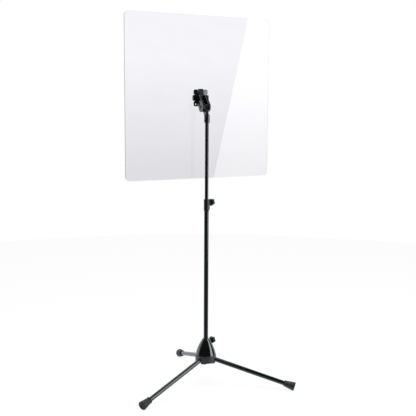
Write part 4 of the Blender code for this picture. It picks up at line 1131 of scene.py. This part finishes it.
def make_bracket():
    """A notched plate with two ear holes, and a cross on it."""
    face = BRACKET_FACE - BRACKET_PLATE_STEP
    outline = rounded_rectangle(BRACKET_PLATE_WIDTH, BRACKET_PLATE_HEIGHT, BRACKET_EAR_RADIUS)
    bracket = prism("bracket", outline, -face, BRACKET_PLATE_THICKNESS - face, SHIELD @ FACING_Y)
    near = BRACKET_REAR - GAP
    far = BRACKET_FACE + GAP
    half_width = BRACKET_PLATE_WIDTH / 2
    half_height = BRACKET_PLATE_HEIGHT / 2
    notch = BRACKET_ARM_WIDTH / 2
    tools = []
    for side_x, side_z in ((1, 1), (-1, 1), (-1, -1), (1, -1)):
        for x, z, half_x, half_z in (
                (side_x * half_width, side_z * notch, BRACKET_SIDE_NOTCH_DEPTH,
                 BRACKET_NOTCH_WIDTH),
                (side_x * notch, side_z * half_height, BRACKET_NOTCH_WIDTH, BRACKET_NOTCH_DEPTH)):
            tools.append(block("notch", (x - half_x, near, z - half_z),
                               (x + half_x, far, z + half_z), SHIELD))
    ear_x = half_width - BRACKET_EAR_INSET
    ear_z = half_height - BRACKET_EAR_INSET
    for x in (ear_x, -ear_x):
        tools.append(rod("ear_hole", BRACKET_EAR_HOLE_RADIUS, near, far,
                         SHIELD @ at(x, 0, -ear_z) @ ALONG_Y))
    cut(bracket, *tools)
    soften(bracket, BRACKET_PLATE_EDGE, segments=2)
    keep_inside(bracket, crown(face - BRACKET_PLATE_THICKNESS))
    cross = prism("cross", cross_outline(), -BRACKET_FACE, -BRACKET_REAR, SHIELD @ FACING_Y,
                  BRACKET_ARM_EDGE)
    join(bracket, cross)
    cut(bracket, *screw_holes(near, far),
        rod("centre_hole", CENTRE_SCREW_RADIUS + GAP, near, far, SHIELD @ ALONG_Y),
        rod("centre_recess", CENTRE_SCREW_HEAD_RADIUS + GAP,
            BRACKET_FACE - CENTRE_SCREW_HEAD - GAP, far, SHIELD @ ALONG_Y))
    dress(bracket, "shield", "satin_casting", "panel_bracket", "head_casting")


def make_pad():
    """The rubber pad between the cross and the panel."""
    half = PAD_THICKNESS / 2
    pad = prism("pad", cross_outline(), -PAD_MIDDLE - half, half - PAD_MIDDLE,
                SHIELD @ FACING_Y, SLIGHT_EDGE)
    cut(pad, *screw_holes(PAD_MIDDLE - PAD_THICKNESS, PAD_MIDDLE + PAD_THICKNESS))
    dress(pad, "shield", "black_rubber", "bracket_pad")


def make_panel():
    """The clear panel with its four screw holes."""
    outline = rounded_rectangle(PANEL_WIDTH, PANEL_HEIGHT, PANEL_CORNER_RADIUS, steps=20)
    panel = prism("panel", outline, -PANEL_FACE, -PANEL_REAR, SHIELD @ FACING_Y, PANEL_EDGE)
    cut(panel, *screw_holes(PANEL_REAR - GAP, PANEL_FACE + GAP))
    dress(panel, "shield", "clear_acrylic", "acrylic_panel")


def make_panel_fasteners():
    """The four screws and washers on the panel's face."""
    washer_face = PANEL_FACE + GAP + PANEL_WASHER_THICKNESS
    head_start = washer_face + GAP
    head_top = head_start + PANEL_SCREW_HEAD
    radius = PANEL_SCREW_HEAD_RADIUS
    profile = fillet([(0.0, head_top), (radius * PANEL_SCREW_TOP_SHARE, head_top),
                      (radius, head_start + PANEL_SCREW_RIM), (radius, head_start),
                      (PANEL_SCREW_RADIUS, head_start), (PANEL_SCREW_RADIUS, BRACKET_REAR),
                      (0.0, BRACKET_REAR)], PANEL_SCREW_ROUND, 4, closed=False)
    for side, line in screw_lines().items():
        washer = pipe("washer_" + side, PANEL_WASHER_RADIUS, PANEL_HOLE, PANEL_FACE + GAP,
                      washer_face, line, sides=SMALL_SIDES)
        dress(washer, "shield", "black_plastic", "panel_washer_" + side)
        screw = lathe("screw_" + side, profile, line, SMALL_SIDES)
        cut(screw, rod("hex", radius * PANEL_HEX_SHARE, head_top - PANEL_HEX_DEPTH,
                       head_top + GAP, line, sides=HEX_SIDES))
        dress(screw, "shield", "black_steel", "panel_screw_" + side)


# The room round the object

def make_camera():
    """The place that the photograph was taken from."""
    data = bpy.data.cameras.new("camera")
    data.lens = CAMERA_LENS
    data.clip_end = CAMERA_RANGE
    camera = bpy.data.objects.new("camera", data)
    bpy.context.scene.collection.objects.link(camera)
    place = POLE.translation + Vector(CAMERA_FROM_POLE)
    turn = (Matrix.Rotation(-math.radians(CAMERA_HEADING), 4, "Z")
            @ Matrix.Rotation(math.radians(90 - CAMERA_PITCH), 4, "X")
            @ Matrix.Rotation(math.radians(CAMERA_ROLL), 4, "Z"))
    camera.matrix_world = Matrix.Translation(place) @ turn
    bpy.context.scene.camera = camera


def heading(angle):
    """A level direction, turned to the right of the line from the pole to the camera."""
    azimuth = math.radians(270 - CAMERA_HEADING + angle)
    return Vector((math.cos(azimuth), math.sin(azimuth), 0.0))


def add_lamp(name, width, height, power, place, target, lean=0.0):
    data = bpy.data.lights.new(name, "AREA")
    data.shape = "RECTANGLE"
    data.size = width
    data.size_y = height
    data.energy = power
    lamp = bpy.data.objects.new(name, data)
    bpy.context.scene.collection.objects.link(lamp)
    aim = (target - place).to_track_quat("-Z", "Y").to_matrix().to_4x4()
    roll = Matrix.Rotation(math.radians(lean), 4, "Z")
    lamp.matrix_world = Matrix.Translation(place) @ aim @ roll
    lamp.visible_camera = False
    lamp.visible_transmission = False


def make_lamps():
    """A tall leaning softbox on the right and a soft lamp overhead."""
    pole = POLE.translation
    out = heading(SOFTBOX_ANGLE)
    right = Vector((-out.y, out.x, 0.0))
    facing = pole + Vector((0, 0, SOFTBOX_MIDDLE))
    middle = SOFTBOX_EDGE + SOFTBOX_WIDTH / 2
    place = facing + out * SOFTBOX_DISTANCE + right * middle
    add_lamp("softbox", SOFTBOX_WIDTH, SOFTBOX_HEIGHT, SOFTBOX_POWER, place, place - out,
             SOFTBOX_LEAN)
    top_place = pole + heading(TOP_ANGLE) * TOP_NEARER + Vector((0, 0, TOP_HEIGHT))
    add_lamp("top", TOP_SIZE, TOP_SIZE, TOP_POWER, top_place, pole + Vector((0, 0, TOP_AIM)))


def glow(tree, kind, strength, colour=(1.0, 1.0, 1.0)):
    """A light of its own, whose strength is a number or comes from a node."""
    node = add_node(tree, kind)
    node.inputs["Color"].default_value = (*colour, 1.0)
    link(tree, strength, node.inputs["Strength"])
    return node.outputs[0]


def make_world():
    """White behind the object, a little greyer towards the floor where the panel shows it.

    In reflections the room in front of the object is dim.
    """
    world = bpy.data.worlds.new("studio")
    world.use_nodes = True
    bpy.context.scene.world = world
    tree = world.node_tree
    tree.nodes.clear()
    path = add_node(tree, "ShaderNodeLightPath")
    way = add_node(tree, "ShaderNodeTexCoord").outputs["Generated"]
    behind = spread(tree, along(tree, way, heading(BACKDROP_ANGLE)), ROOM_IN_FRONT, 1.0,
                    BACKDROP_START, BACKDROP_END)
    height = spread(tree, along(tree, way, (0, 0, 1)), SEEN_LOW, SEEN_HIGH,
                    SEEN_LOW_SLOPE, SEEN_HIGH_SLOPE)
    kind = "ShaderNodeBackground"
    look = glow(tree, kind, FILL_STRENGTH)
    look = choose(tree, path.outputs["Is Glossy Ray"], look, glow(tree, kind, behind, COOL))
    look = choose(tree, path.outputs["Is Transmission Ray"], look, glow(tree, kind, height, VIOLET))
    look = choose(tree, path.outputs["Is Camera Ray"], look, glow(tree, kind, 1.0))
    output = add_node(tree, "ShaderNodeOutputWorld")
    link(tree, look, output.inputs["Surface"])


def make_floor():
    """A white sheet under and behind the object, on a floor that is dim farther in front."""
    floor = lathe("floor", [(0.0, -FLOOR_DROP), (FLOOR_RADIUS, -FLOOR_DROP)], POLE, FLOOR_SIDES)
    material, tree, shader = new_finish("pale_floor")
    speckle = grain(tree, 40, 4.0)
    link(tree, tones(tree, speckle, (0.80, 0.80, 0.80), (0.84, 0.84, 0.84)),
         shader.inputs["Base Color"])
    shader.inputs["Roughness"].default_value = 0.9
    shader.inputs["Specular IOR Level"].default_value = 0.0
    path = add_node(tree, "ShaderNodeLightPath")
    kind = "ShaderNodeEmission"
    spot = add_node(tree, "ShaderNodeNewGeometry").outputs["Position"]
    start = POLE.translation.dot(heading(0))
    front = spread(tree, along(tree, spot, heading(0)), SHEET_IN_GLOSS, FLOOR_IN_FRONT,
                   start + SHEET_START, start + SHEET_END)
    look = choose(tree, path.outputs["Is Glossy Ray"], shader.outputs["BSDF"],
                  glow(tree, kind, front, COOL))
    seen = add_node(tree, "ShaderNodeMath", operation="MAXIMUM")
    link(tree, path.outputs["Is Camera Ray"], seen.inputs[0])
    link(tree, path.outputs["Is Transmission Ray"], seen.inputs[1])
    share = spread(tree, seen.outputs["Value"], 0.0, FLOOR_GLOW_SHARE, 0.0, 1.0)
    look = choose(tree, share, look, glow(tree, kind, FLOOR_GLOW))
    link(tree, look, tree.nodes["Material Output"].inputs["Surface"])
    floor.data.materials.append(material)


finish_cad_nodes()
make_bell()
make_hub()
for leg_side, leg_azimuth in LEG_AZIMUTHS.items():
    make_leg(leg_side, leg_azimuth)
make_knob("base_knob", "base_clamp", BASE_BOSS_REACH, BASE_SCREW_HOLE)
make_knob("clutch_knob", "height_clamp", CLUTCH_BOSS_REACH, CLUTCH_SCREW_HOLE)
make_poles()
make_clutch()
make_neck()
make_fork()
make_tilt_hardware()
make_bracket()
make_pad()
make_panel()
make_panel_fasteners()
make_camera()
make_lamps()
make_world()
make_floor()

bpy.context.scene.view_settings.view_transform = "Standard"
